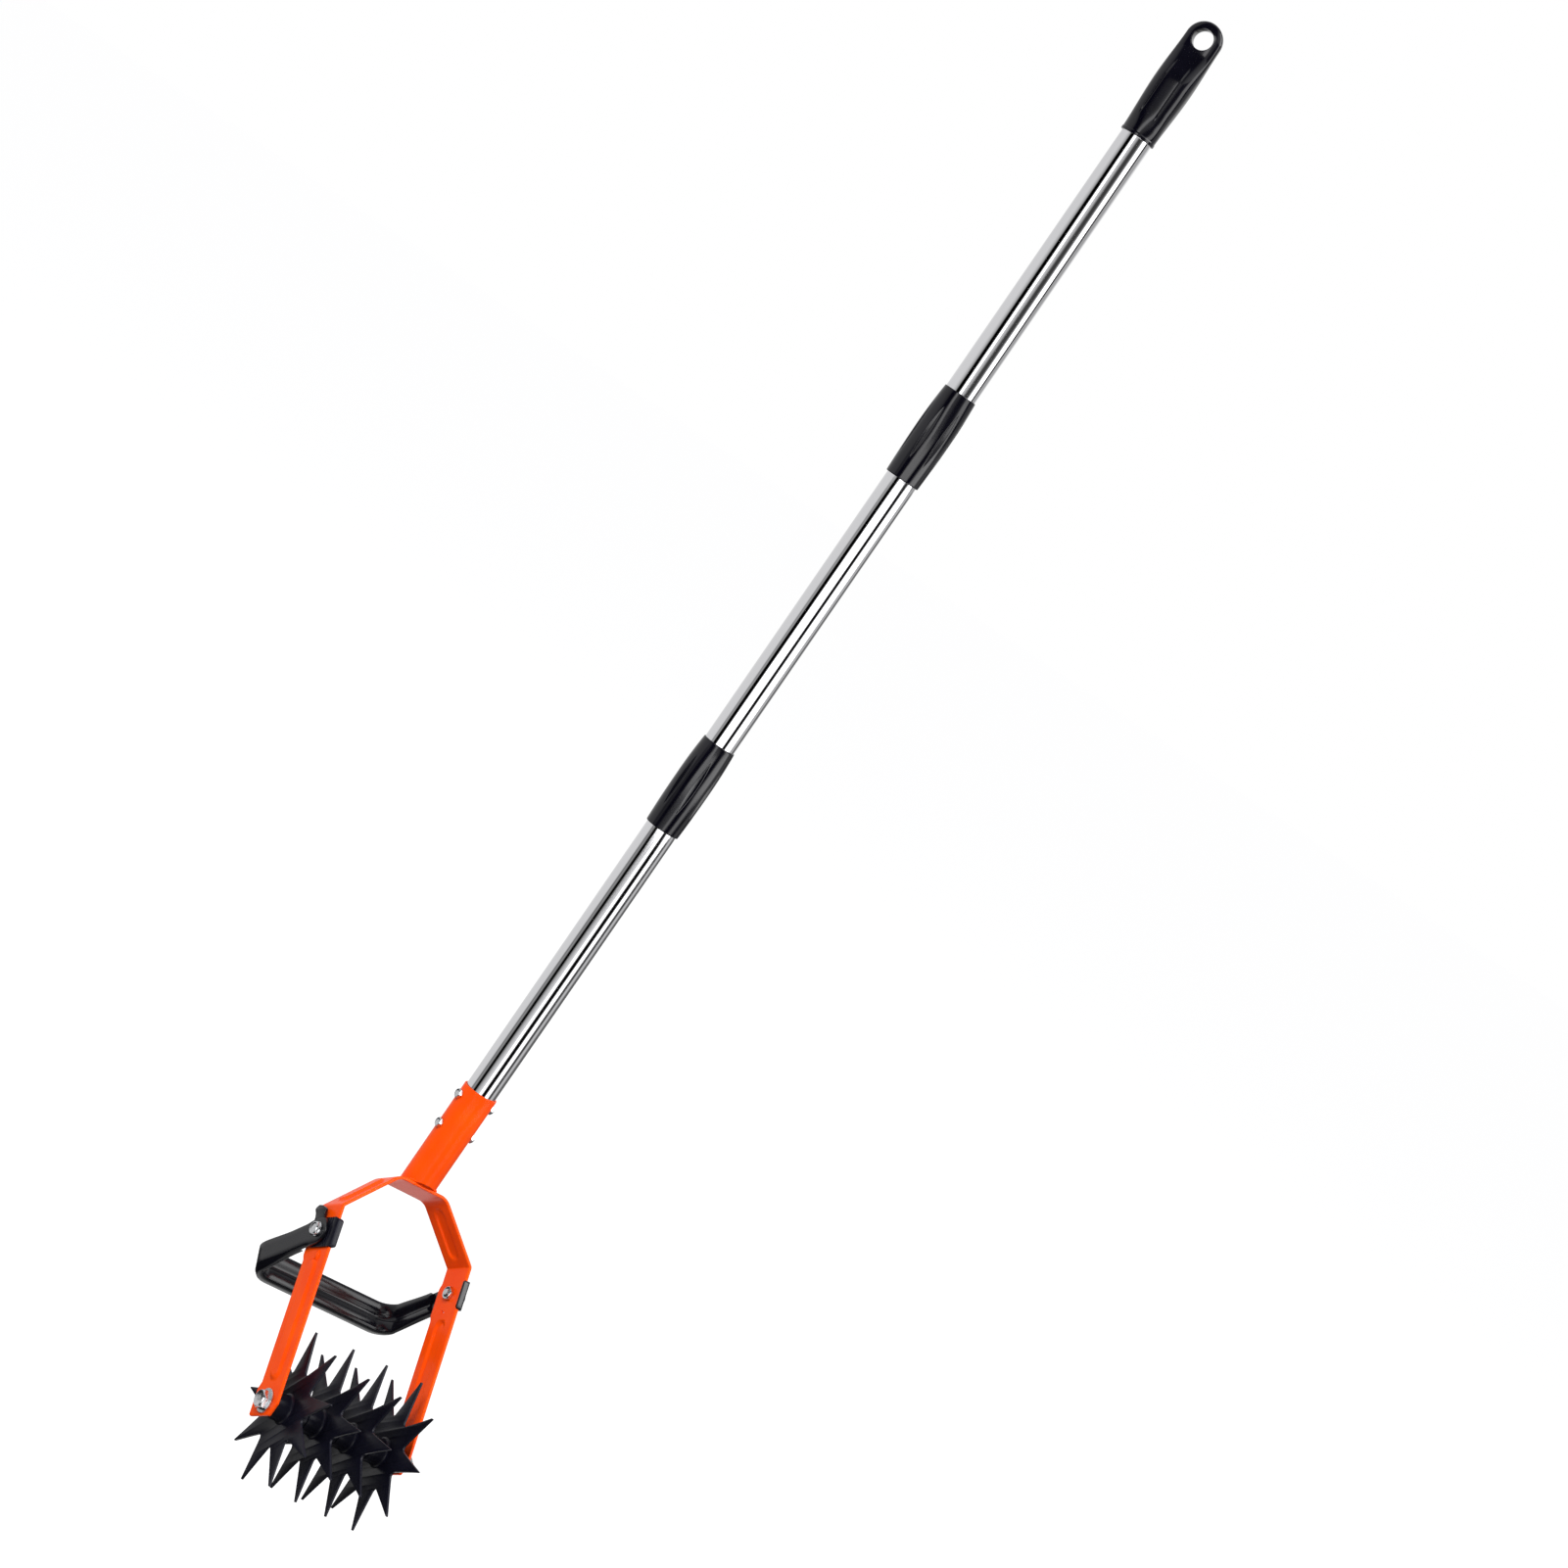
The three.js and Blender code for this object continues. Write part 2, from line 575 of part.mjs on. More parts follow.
// Rings from the middle of the top plate down the +X arm: a point and normal on the outer face,
// the two edges of the strip, and the rib height as a function of the place across the strip.
function halfYokeStations() {
  const topCorner = TOP_PLATE_WIDTH / 2;
  const shoulderRun = armOutside - topCorner;
  const slope = Math.atan2(SHOULDER_DROP + TOP_PLATE_RISE, shoulderRun);
  const topTangent = TOP_BEND_RADIUS * Math.tan(slope / 2);
  const lowerTurn = Math.PI / 2 - slope;
  const lowerTangent = SHOULDER_BEND_RADIUS * Math.tan(lowerTurn / 2);
  const plain = { rear: halfStrip, front: -halfStrip, rib: () => 0 };
  const stations = [];
  const add = (x, z, turn, more) =>
    stations.push({ x, z, nx: Math.sin(turn), nz: Math.cos(turn), ...plain, ...more });
  const bend = (x, z, radius, from, to, steps) => {
    for (let i = 0; i <= steps; i++) {
      const turn = from + ((to - from) * i) / steps;
      add(x + radius * Math.sin(turn), z + radius * Math.cos(turn), turn, armEdges(-z));
    }
  };
  add(0, TOP_PLATE_RISE, 0, {});
  bend(topCorner - topTangent, TOP_PLATE_RISE - TOP_BEND_RADIUS, TOP_BEND_RADIUS, 0, slope, TOP_BEND_STEPS);
  const ribStart = topTangent + SHOULDER_RIB_MARGIN;
  const ribEnd = ribStart + SHOULDER_RIB_LENGTH;
  ribPlaces(ribStart, ribEnd).forEach((along) => {
    const x = topCorner + along * Math.cos(slope);
    const z = TOP_PLATE_RISE - along * Math.sin(slope);
    add(x, z, slope, { rib: (across) => ribHeight(along, across, ribStart, ribEnd) });
  });
  bend(
    armOutside - SHOULDER_BEND_RADIUS,
    -SHOULDER_DROP - lowerTangent,
    SHOULDER_BEND_RADIUS, slope, Math.PI / 2, SHOULDER_BEND_STEPS,
  );
  const armRibStart = PIVOT_DROP + ARM_RIB_BELOW_PIVOT;
  const armRibEnd = AXLE_DROP - ARM_RIB_ABOVE_AXLE;
  const earTop = PIVOT_DROP - EAR_ABOVE_PIVOT;
  const earFoot = PIVOT_DROP + EAR_BELOW_PIVOT;
  const places = [
    earTop - EAR_RAMP, earTop, earFoot, earFoot + EAR_RAMP,
    AXLE_DROP - FOOT_EAR_HEIGHT, AXLE_DROP - FOOT_EAR_HEIGHT + EAR_RAMP,
    armFoot - FRONT_CORNER_HEIGHT, armFoot - REAR_CORNER, armFoot,
    ...ribPlaces(armRibStart, armRibEnd),
  ];
  places.sort((a, b) => a - b).forEach((depth) => {
    const rib = (across) => ribHeight(depth, across, armRibStart, armRibEnd);
    add(armOutside, -depth, Math.PI / 2, { ...armEdges(depth), rib });
  });
  return stations;
}

function yokeRing(station, side) {
  const ribShare = RIB_WIDTH / STRIP_WIDTH;
  const slopeShare = RIB_SLOPE / halfStrip;
  const halfShares = [0, ribShare - slopeShare, ribShare - slopeShare / 2, ribShare, 1];
  const shares = [...halfShares.slice(1).reverse().map((share) => -share), ...halfShares];
  const points = shares.map((share) => {
    const across = share < 0 ? -share * station.front : share * station.rear;
    return { across, lift: station.rib(share * halfStrip) };
  });
  const at = ({ across, lift }, below) => {
    const out = lift - below;
    return new THREE.Vector3(side * (station.x + station.nx * out), across, station.z + station.nz * out);
  };
  return [
    ...points.map((point) => at(point, 0)),
    ...points.reverse().map((point) => at(point, STRIP_THICKNESS)),
  ];
}

function yoke() {
  const half = halfYokeStations();
  const left = half.slice(1).reverse().map((station) => yokeRing(station, -1));
  const right = half.map((station) => yokeRing(station, 1));
  const strip = loft([...left, ...right]);
  const bump = new THREE.SphereGeometry(1, SMALL_SIDES, TAB_RINGS).scale(TAB.height, TAB.width / 2, TAB.length / 2);
  const tabDrop = PIVOT_DROP + BRACKET_BELOW_PIVOT + TAB.belowBracket + TAB.length / 2;
  const tab = bump.translate(-armOutside, -TAB.forward, -tabDrop);
  const slot = new THREE.BoxGeometry(armInside, KEY_SLOT.width, KEY_SLOT.length)
    .rotateX(-KEY_SLOT.turn)
    .translate(armOutside, KEY_SLOT.back, -PIVOT_DROP - KEY_SLOT.belowPivot);
  const pivotHole = crossHole(PIVOT_BOLT.shank, YOKE_WIDTH).translate(0, 0, -PIVOT_DROP);
  const axleHole = crossHole(AXLE_BOLT.shank, YOKE_WIDTH).translate(0, 0, -AXLE_DROP);
  return cut(joined(strip, tab), pivotHole, axleHole, slot);
}

// Star wheels

// Outline of the wheel: slender teeth with slightly hollow flanks and small round valleys.
function wheelOutline() {
  const step = (2 * Math.PI) / WHEEL_TEETH;
  const half = step / 2;
  const tip = [WHEEL_TIP_RADIUS, TOOTH_TIP_WIDTH / 2];
  const waist = [TOOTH_WAIST_RADIUS, TOOTH_WAIST_WIDTH / 2];
  const round = VALLEY_ROUND / WHEEL_VALLEY_RADIUS;
  const valley = [WHEEL_VALLEY_RADIUS * Math.cos(half - round), WHEEL_VALLEY_RADIUS * Math.sin(half - round)];
  const flank = Array.from({ length: FLANK_STEPS + 1 }, (_, i) => {
    const t = i / FLANK_STEPS;
    const blend = (k) => (1 - t) ** 2 * tip[k] + 2 * t * (1 - t) * waist[k] + t ** 2 * valley[k];
    return [blend(0), blend(1)];
  });
  const floor = WHEEL_VALLEY_RADIUS - VALLEY_ROUND / 2;
  const outline = [];
  for (let tooth = 0; tooth < WHEEL_TEETH; tooth++) {
    const turn = tooth * step;
    const place = ([along, across]) => [
      along * Math.cos(turn) - across * Math.sin(turn),
      along * Math.sin(turn) + across * Math.cos(turn),
    ];
    outline.push(...flank.slice().reverse().map(([along, across]) => place([along, -across])));
    outline.push(...flank.map(place));
    outline.push(place([floor * Math.cos(half), floor * Math.sin(half)]));
  }
  return outline;
}

function starWheel() {
  const bore = arcPoints([0, 0], hubRadius + FIT, 0, 2 * Math.PI, HUB_SIDES).slice(1);
  return plate(wheelOutline(), WHEEL_THICKNESS, [bore]).translate(-WHEEL_THICKNESS / 2, 0, 0);
}

function hubTube() {
  const upright = ring(hubRadius, axleSleeveRadius + FIT, hubLength, HUB_SIDES);
  return alongX(upright).translate(-hubLength / 2, 0, 0);
}

function wheelPlace(index) {
  return (index - (WHEEL_COUNT - 1) / 2) * hubPitch;
}

// Brackets

// An angle of sheet on the outer face of the +X arm: its lip wraps the arm's front edge.
function bracket() {
  const front = -(halfStrip + FIT + BRACKET_LIP_THICKNESS);
  const lipEnd = bracketOutside - BRACKET_LIP_REACH;
  const edge = BRACKET_LIP_THICKNESS / 2;
  const profile = new THREE.Shape();
  profile.moveTo(bracketInside, BRACKET_BACK);
  profile.lineTo(bracketInside, front + BRACKET_LIP_THICKNESS);
  profile.lineTo(lipEnd + edge, front + BRACKET_LIP_THICKNESS);
  profile.absarc(lipEnd + edge, front + edge, edge, Math.PI / 2, (3 * Math.PI) / 2, false);
  profile.lineTo(bracketOutside - BRACKET_CORNER, front);
  profile.absarc(bracketOutside - BRACKET_CORNER, front + BRACKET_CORNER, BRACKET_CORNER, -Math.PI / 2, 0, false);
  profile.lineTo(bracketOutside, BRACKET_BACK);
  const height = BRACKET_ABOVE_PIVOT + BRACKET_BELOW_PIVOT;
  const body = new THREE.ExtrudeGeometry(profile, { depth: height, bevelEnabled: false, curveSegments: 5 });
  body.translate(0, 0, -BRACKET_BELOW_PIVOT);
  const grooves = BRACKET_GROOVES_BACK.map((back) =>
    new THREE.BoxGeometry(2 * BRACKET_GROOVE_DEPTH, BRACKET_GROOVE_WIDTH, 2 * height)
      .translate(bracketOutside, front + BRACKET_CORNER + back, 0),
  );
  const low = -BRACKET_BELOW_PIVOT;
  const high = BRACKET_ABOVE_PIVOT;
  const fromSide = plate(roundedRectangle(front, BRACKET_BACK, low, high, BRACKET_CORNER), YOKE_WIDTH);
  const lipRound = BRACKET_LIP_REACH / 2;
  const lipOutline = roundedRectangle(-bracketOutside - lipRound, -lipEnd, low, high, lipRound);
  const fromFront = plate(lipOutline, YOKE_WIDTH).rotateZ(Math.PI / 2).translate(0, -armOutside, 0);
  return cut(kept(kept(body, fromSide), fromFront), ...grooves, crossHole(PIVOT_BOLT.shank, YOKE_WIDTH));
}

// Foot bar, made with its pivot axis along X through the origin and its arms along +Y

// One cross-section as [share of the half height, depth towards the outside] pairs: a flat outer face,
// and an inner face with two rounded ridges and a groove between them.
function barSection(outer, inner) {
  const half = [
    ...BAR_OUTER_SHARES.map(([height, share]) => [height, outer - share * BAR_EDGE_ROUND]),
    ...BAR_RIDGE_SHARES.map(([height, share]) => [height, share * BAR_EDGE_ROUND - inner]),
    ...BAR_GROOVE_SHARES.map(([height, share]) => [height, share * BAR_GROOVE_DEPTH - inner]),
  ];
  const otherHalf = half.slice(1, -1).reverse().map(([height, depth]) => [-height, depth]);
  return [...half, ...otherHalf];
}

function barPath() {
  const middle = barOutside - BAR_DEPTH / 2;
  const cross = BAR_REACH;
  const r = BAR_CORNER_RADIUS;
  const strapRadius = BAR_STRAP_HEIGHT / 2;
  const half = BAR_END_SHARES.map((share) => ({ x: middle, y: share * strapRadius, nx: 1, ny: 0, share }));
  for (const y of [...BAR_ARM_PLACES, cross - r]) half.push({ x: middle, y, nx: 1, ny: 0, share: 0 });
  for (let i = 1; i <= BAR_CORNER_STEPS; i++) {
    const angle = (i / BAR_CORNER_STEPS) * (Math.PI / 2);
    const nx = Math.cos(angle);
    const ny = Math.sin(angle);
    half.push({ x: middle - r + r * nx, y: cross - r + r * ny, nx, ny, share: 0 });
  }
  return half;
}

function barRing(station, side) {
  const [strapEnd, armStart, armEnd] = BAR_ARM_PLACES;
  const strapHalf = (BAR_STRAP_HEIGHT / 2) * Math.sqrt(1 - station.share ** 2);
  const narrowing = THREE.MathUtils.smoothstep(station.y, strapEnd, armStart);
  const widening = THREE.MathUtils.smoothstep(station.y, armEnd, BAR_REACH - BAR_CORNER_RADIUS);
  const armHalf = THREE.MathUtils.lerp(strapHalf, BAR_ARM_HEIGHT / 2, narrowing);
  const halfHeight = THREE.MathUtils.lerp(armHalf, BAR_CROSS_HEIGHT / 2, widening);
  const outer = BAR_DEPTH / 2;
  const inner = outer + (BAR_CROSS_DEPTH - BAR_DEPTH) * station.ny;
  return barSection(outer, inner).map(([height, depth]) => new THREE.Vector3(
    side * (station.x + station.nx * depth),
    station.y + station.ny * depth,
    height * halfHeight + BAR_RISE * narrowing,
  ));
}

// The bar leaves room for the arm of the yoke inside its strap. The lower corner of that room meets
// the arm's rear edge and stops the bar; the wider rest lets it fold up past the shoulder.
function barRoom(side) {
  const low = -BAR_CROSS_HEIGHT;
  const high = BAR_CROSS_HEIGHT;
  const strapHalf = BAR_STRAP_HEIGHT / 2;
  const outline = [
    [-BAR_STRAP_HEIGHT, low], [BAR_STOP_DISTANCE, low], [BAR_STOP_DISTANCE, -strapHalf],
    [BAR_RELIEF_DISTANCE, -BAR_RELIEF_FOOT], [BAR_RELIEF_DISTANCE, high], [-BAR_STRAP_HEIGHT, high],
  ];
  const depth = barOutside - strapInside;
  const room = plate(outline, BAR_DEPTH + OVERRUN - depth);
  return room.translate(side > 0 ? strapInside - (BAR_DEPTH + OVERRUN - depth) : -strapInside, 0, 0);
}

// A small hooked horn on the left strap, to fold the bar with a finger.
function horn() {
  const root = BAR_STRAP_HEIGHT / 4;
  const outline = [
    [HORN.base, root], [HORN.base, HORN.height / 2], [HORN.beak, HORN.beakHeight],
    [HORN.base, HORN.height], [HORN.base / 2, HORN.height], [-HORN.front, HORN.beakHeight],
    [-2 * HORN.front, HORN.height / 2], [-2 * HORN.front, root],
  ];
  const turned = plate(outline, BAR_STRAP).rotateX(-BAR_ANGLE);
  return turned.translate(-barOutside, 0, 0);
}

function footBar() {
  const half = barPath();
  const right = half.map((station) => barRing(station, 1));
  const left = half.slice().reverse().map((station) => barRing(station, -1));
  const bar = joined(loft([...right, ...left]), horn());
  return cut(bar, barRoom(1), barRoom(-1), crossHole(PIVOT_BOLT.shank, YOKE_WIDTH));
}

// Assembly

function addPole(pole) {
  named("lower_tube", drilledTube(), polishedSteel, pole).position.z = TUBE_FOOT_HEIGHT;
  named("middle_tube", tube(MIDDLE_TUBE_LENGTH), polishedSteel, pole).position.z = middleTubeFoot;
  named("upper_tube", tube(UPPER_TUBE_LENGTH), polishedSteel, pole).position.z = upperTubeFoot;
  const joints = [
    ["lower", (lowerTubeTop + middleTubeFoot) / 2, LOWER_CONNECTOR_TURN],
    ["upper", (middleTubeTop + upperTubeFoot) / 2, UPPER_CONNECTOR_TURN],
  ];
  for (const [place, height, turn] of joints) {
    named(place + "_core", core(), blackPlastic, pole).position.z = height;
    const sleeve = named(place + "_connector", connector(), blackPlastic, pole);
    sleeve.position.z = height;
    sleeve.rotation.z = turn;
  }
  const handle = named("grip", grip(), blackPlastic, pole);
  handle.position.z = holeHeight;
  handle.rotation.z = GRIP_TURN;
}

function addSocket(pole) {
  named("socket_tube", socket(), orangePaint, pole);
  const seat = socketRadius + FIT;
  const shank = 2 * seat + SOCKET_BOLT.nut + SOCKET_BOLT.tail;
  SOCKET_BOLT_HEIGHTS.forEach((height, i) => {
    named("socket_bolt_" + (i + 1), hexBolt(SOCKET_BOLT, shank), zincSteel, pole).position.set(-seat, 0, height);
    named("socket_nut_" + (i + 1), hexNut(SOCKET_BOLT), zincSteel, pole).position.set(seat, 0, height);
  });
}

function addAxle(head) {
  const seat = armOutside + FIT + AXLE_WASHER_THICKNESS + FIT;
  const shank = 2 * seat + AXLE_BOLT.nut + AXLE_BOLT.tail;
  named("axle_bolt", hexBolt(AXLE_BOLT, shank), zincSteel, head).position.set(-seat, 0, -AXLE_DROP);
  named("axle_nut", hexNut(AXLE_BOLT), zincSteel, head).position.set(seat, 0, -AXLE_DROP);
  const washerBore = AXLE_BOLT.shank / 2 + FIT;
  const washer = () => alongX(ring(AXLE_WASHER_DIAMETER / 2, washerBore, AXLE_WASHER_THICKNESS, SMALL_SIDES));
  const washerSeat = armOutside + FIT;
  named("axle_washer_right", washer(), zincSteel, head).position.set(washerSeat, 0, -AXLE_DROP);
  const left = named("axle_washer_left", washer(), zincSteel, head);
  left.position.set(-washerSeat - AXLE_WASHER_THICKNESS, 0, -AXLE_DROP);
  const length = 2 * (armInside - FIT);
  const sleeve = ring(axleSleeveRadius, AXLE_BOLT.shank / 2 + FIT, length, HUB_SIDES);
  named("axle_sleeve", alongX(sleeve), zincSteel, head).position.set(-length / 2, 0, -AXLE_DROP);
}

function addWheels(head) {
  for (let i = 0; i < WHEEL_COUNT; i++) {
    const wheel = named("star_wheel_" + (i + 1), starWheel(), blackPaint, head);
    wheel.position.set(wheelPlace(i), 0, -AXLE_DROP);
    wheel.rotation.x = WHEEL_TURNS[i % WHEEL_TURNS.length];
    named("hub_tube_" + (i + 1), hubTube(), blackPaint, head).position.set(wheelPlace(i), 0, -AXLE_DROP);
  }
}

// The pivot bolt runs from the strap through bracket and arm to a nut on the arm's inner face.
function addPivots(head) {
  const seat = barOutside + FIT;
  const nutSeat = armInside - FIT;
  const shank = seat - nutSeat + PIVOT_BOLT.nut + PIVOT_BOLT.tail;
  const flange = alongX(rod(PIVOT_FLANGE_DIAMETER / 2, PIVOT_FLANGE_THICKNESS, SMALL_SIDES));
  const bolt = joined(hexBolt(PIVOT_BOLT, shank), flange.translate(-PIVOT_FLANGE_THICKNESS, 0, 0));
  for (const [name, side] of [["left", -1], ["right", 1]]) {
    const turn = side < 0 ? 0 : Math.PI;
    const clip = side < 0 ? mirrored(bracket()) : bracket();
    named("pedal_bracket_" + name, clip, blackPaint, head).position.z = -PIVOT_DROP;
    const boltMesh = named("pivot_bolt_" + name, bolt, zincSteel, head);
    boltMesh.position.set(side * seat, 0, -PIVOT_DROP);
    boltMesh.rotation.z = turn;
    const nut = named("pivot_nut_" + name, hexNut(PIVOT_BOLT), zincSteel, head);
    nut.position.set(side * nutSeat, 0, -PIVOT_DROP);
    nut.rotation.z = turn;
  }
}

function addFootBar(head) {
  const bar = named("foot_bar", footBar(), blackPaint, head);
  bar.position.z = -PIVOT_DROP;
  bar.rotation.x = BAR_ANGLE;
}

const cultivator = new THREE.Group();
const pole = new THREE.Group();
pole.position.z = -holeHeight;
cultivator.add(pole);
const head = new THREE.Group();
head.rotation.x = -HEAD_BEND;
pole.add(head);

addPole(pole);
addSocket(pole);
named("yoke", yoke(), orangePaint, head);
addPivots(head);
addFootBar(head);
addAxle(head);
addWheels(head);

export default cultivator;
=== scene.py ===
import math

import bmesh
import bpy
from mathutils import Matrix, Vector
from mathutils.geometry import tessellate_polygon


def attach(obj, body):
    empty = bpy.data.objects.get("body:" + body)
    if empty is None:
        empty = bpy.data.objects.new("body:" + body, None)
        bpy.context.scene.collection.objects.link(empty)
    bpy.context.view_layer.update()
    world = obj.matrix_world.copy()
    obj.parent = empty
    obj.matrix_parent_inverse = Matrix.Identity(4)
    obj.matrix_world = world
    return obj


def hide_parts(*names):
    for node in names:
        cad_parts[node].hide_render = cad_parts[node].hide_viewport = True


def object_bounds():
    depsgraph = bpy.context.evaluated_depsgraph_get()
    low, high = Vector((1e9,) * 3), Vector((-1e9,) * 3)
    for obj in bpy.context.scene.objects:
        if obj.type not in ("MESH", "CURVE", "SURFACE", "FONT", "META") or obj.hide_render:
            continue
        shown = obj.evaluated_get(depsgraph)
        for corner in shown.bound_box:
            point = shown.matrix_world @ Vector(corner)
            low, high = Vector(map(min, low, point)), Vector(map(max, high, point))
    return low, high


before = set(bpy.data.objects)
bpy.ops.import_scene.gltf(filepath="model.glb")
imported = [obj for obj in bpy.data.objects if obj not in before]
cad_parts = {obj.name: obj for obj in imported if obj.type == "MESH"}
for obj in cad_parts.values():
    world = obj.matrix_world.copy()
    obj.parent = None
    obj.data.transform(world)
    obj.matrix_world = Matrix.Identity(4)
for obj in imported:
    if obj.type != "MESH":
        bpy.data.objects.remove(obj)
cad_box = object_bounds()

# Sizes in millimetres that more than one piece needs, the same as those of the solids
MM = 0.001
HOLE_HEIGHT = 1033.2
HEAD_BEND = math.radians(32.4)
AXLE_DROP = 189.5
PIVOT_DROP = 57.7
SLEEVE_RADIUS = 12.8
TOP_RISE = 4
ARM_OUTSIDE = 62
ARM_INSIDE = 59.5
BAR_ANGLE = math.radians(-14)
BAR_OUTSIDE = 67.1

# Places of the groups, each from its own millimetres to the frame's metres
POLE = Matrix.Scale(MM, 4) @ Matrix.Translation((0, 0, -HOLE_HEIGHT))
HEAD = POLE @ Matrix.Rotation(-HEAD_BEND, 4, "X")
PIVOT = HEAD @ Matrix.Translation((0, 0, -PIVOT_DROP))
BAR = PIVOT @ Matrix.Rotation(BAR_ANGLE, 4, "X")
AXLE = HEAD @ Matrix.Translation((0, 0, -AXLE_DROP))
GRIP = Matrix.Scale(MM, 4) @ Matrix.Rotation(math.radians(-45), 4, "Z")
MIRROR = Matrix.Diagonal((-1, 1, 1, 1))
HALF_TURN = Matrix.Rotation(math.pi, 4, "Z")


# Node materials

NOISE_MIDDLE = (0.3, 0.7)
RELIEF_METRES = 0.0002


def node(tree, kind, **settings):
    made = tree.nodes.new(kind)
    for key, value in settings.items():
        if key in made.inputs:
            made.inputs[key].default_value = value
        else:
            setattr(made, key, value)
    return made


def noise(tree, scale, stretch):
    place = node(tree, "ShaderNodeTexCoord")
    mapping = node(tree, "ShaderNodeMapping", Scale=stretch)
    tree.links.new(place.outputs["Object"], mapping.inputs["Vector"])
    made = node(tree, "ShaderNodeTexNoise", Scale=scale, Detail=4.0, Roughness=0.55)
    tree.links.new(mapping.outputs["Vector"], made.inputs["Vector"])
    return made.outputs["Fac"]


def spread(tree, value, low, high):
    made = node(tree, "ShaderNodeMapRange")
    made.inputs["From Min"].default_value, made.inputs["From Max"].default_value = NOISE_MIDDLE
    made.inputs["To Min"].default_value = low
    made.inputs["To Max"].default_value = high
    tree.links.new(value, made.inputs["Value"])
    return made.outputs["Result"]


def colours(tree, value, dark, light):
    ramp = node(tree, "ShaderNodeValToRGB")
    for i, colour in enumerate((dark, light)):
        ramp.color_ramp.elements[i].position = NOISE_MIDDLE[i]
        ramp.color_ramp.elements[i].color = (*colour, 1)
    tree.links.new(value, ramp.inputs["Fac"])
    return ramp.outputs["Color"]


def material(name, dark, light, rough, metallic=0.0, coat=0.0, specular=0.5, patches=40, grain=2500, bump=0.1,
             stretch=(1, 1, 1)):
    made = bpy.data.materials.new(name)
    made.use_nodes = True
    tree = made.node_tree
    shader = tree.nodes["Principled BSDF"]
    shader.inputs["Metallic"].default_value = metallic
    shader.inputs["Coat Weight"].default_value = coat
    shader.inputs["Coat Roughness"].default_value = 0.1
    shader.inputs["Specular IOR Level"].default_value = specular
    wide = noise(tree, patches, stretch)
    tree.links.new(colours(tree, wide, dark, light), shader.inputs["Base Color"])
    fine = noise(tree, grain, stretch)
    tree.links.new(spread(tree, fine, *rough), shader.inputs["Roughness"])
    relief = node(tree, "ShaderNodeBump", Strength=bump, Distance=RELIEF_METRES)
    tree.links.new(fine, relief.inputs["Height"])
    tree.links.new(relief.outputs["Normal"], shader.inputs["Normal"])
    made.diffuse_color = (*light, 1)
    return made


ORANGE = material("orange_coat", (0.90, 0.063, 0.0006), (0.98, 0.088, 0.001), (0.26, 0.36), coat=0.06,
                  specular=0.1, patches=30, grain=900, bump=0.08)
BLACK_COAT = material("black_coat", (0.003, 0.003, 0.0072), (0.006, 0.006, 0.0125), (0.3, 0.4), specular=0.24,
                      patches=60, grain=1800, bump=0.2)
LIP_COAT = material("lip_coat", (0.003, 0.003, 0.005), (0.006, 0.006, 0.009), (0.2, 0.28), specular=0.6,
                    patches=60, grain=1800, bump=0.1)
BLACK_PLASTIC = material("black_plastic", (0.0012, 0.0011, 0.0030), (0.0026, 0.0024, 0.0056), (0.08, 0.13),
                         specular=0.5, patches=60, grain=2400, bump=0.02)
BAR_PLASTIC = material("bar_plastic", (0.0022, 0.0022, 0.0042), (0.0042, 0.0042, 0.0075), (0.17, 0.24),
                       specular=0.36, patches=60, grain=2400, bump=0.05)
POLISHED = material("polished_steel", (0.80, 0.80, 0.82), (0.88, 0.88, 0.90), (0.03, 0.07), metallic=1.0,
                    patches=18, grain=1400, bump=0.012, stretch=(1, 1, 0.04))
ZINC = material("zinc_plate", (0.60, 0.61, 0.63), (0.78, 0.79, 0.81), (0.16, 0.3), metallic=1.0,
                patches=300, grain=2600, bump=0.12)
NYLON = material("nylon_ring", (0.02, 0.05, 0.06), (0.05, 0.10, 0.11), (0.4, 0.5), patches=200, grain=2000)


# Mesh helpers, in the millimetres of a group's place

def loft(rings, looped=False, caps=True):
    count = len(rings[0])
    points = [p for ring in rings for p in ring]
    faces = []
    for i in range(len(rings) if looped else len(rings) - 1):
        here, there = i * count, (i + 1) % len(rings) * count
        for j in range(count):
            k = (j + 1) % count
            faces.append((here + j, here + k, there + k, there + j))
    if not looped and caps:
        faces.append(tuple(reversed(range(count))))
        faces.append(tuple(range(len(points) - count, len(points))))
    return points, faces


def circle(radius, height, sides):
    return [(radius * math.cos(2 * math.pi * i / sides), radius * math.sin(2 * math.pi * i / sides), height)
            for i in range(sides)]


def ring_along_x(x, radius, sides):
    return [(x, y, z) for y, z, _ in circle(radius, 0, sides)]


def revolved(profile, sides=96, looped=True):
    return loft([circle(max(r, 0.001), z, sides) for r, z in profile], looped)


def plate(outline, thickness, holes=()):
    loops = [outline, *holes]
    flat = [p for loop in loops for p in loop]
    triangles = tessellate_polygon([[Vector((y, z, 0)) for y, z in loop] for loop in loops])
    count = len(flat)
    points = [(0, y, z) for y, z in flat] + [(thickness, y, z) for y, z in flat]
    faces = [tuple(t) for t in triangles] + [tuple(reversed([i + count for i in t])) for t in triangles]
    start = 0
    for loop in loops:
        for j in range(len(loop)):
            k = (j + 1) % len(loop)
            faces.append((start + j, start + k, start + k + count, start + j + count))
        start += len(loop)
    return points, faces


def box_shape(low, high):
    corners = [(x, y, z) for x in (low[0], high[0]) for y in (low[1], high[1]) for z in (low[2], high[2])]
    faces = [(0, 1, 3, 2), (4, 6, 7, 5), (0, 4, 5, 1), (2, 3, 7, 6), (0, 2, 6, 4), (1, 5, 7, 3)]
    return corners, faces


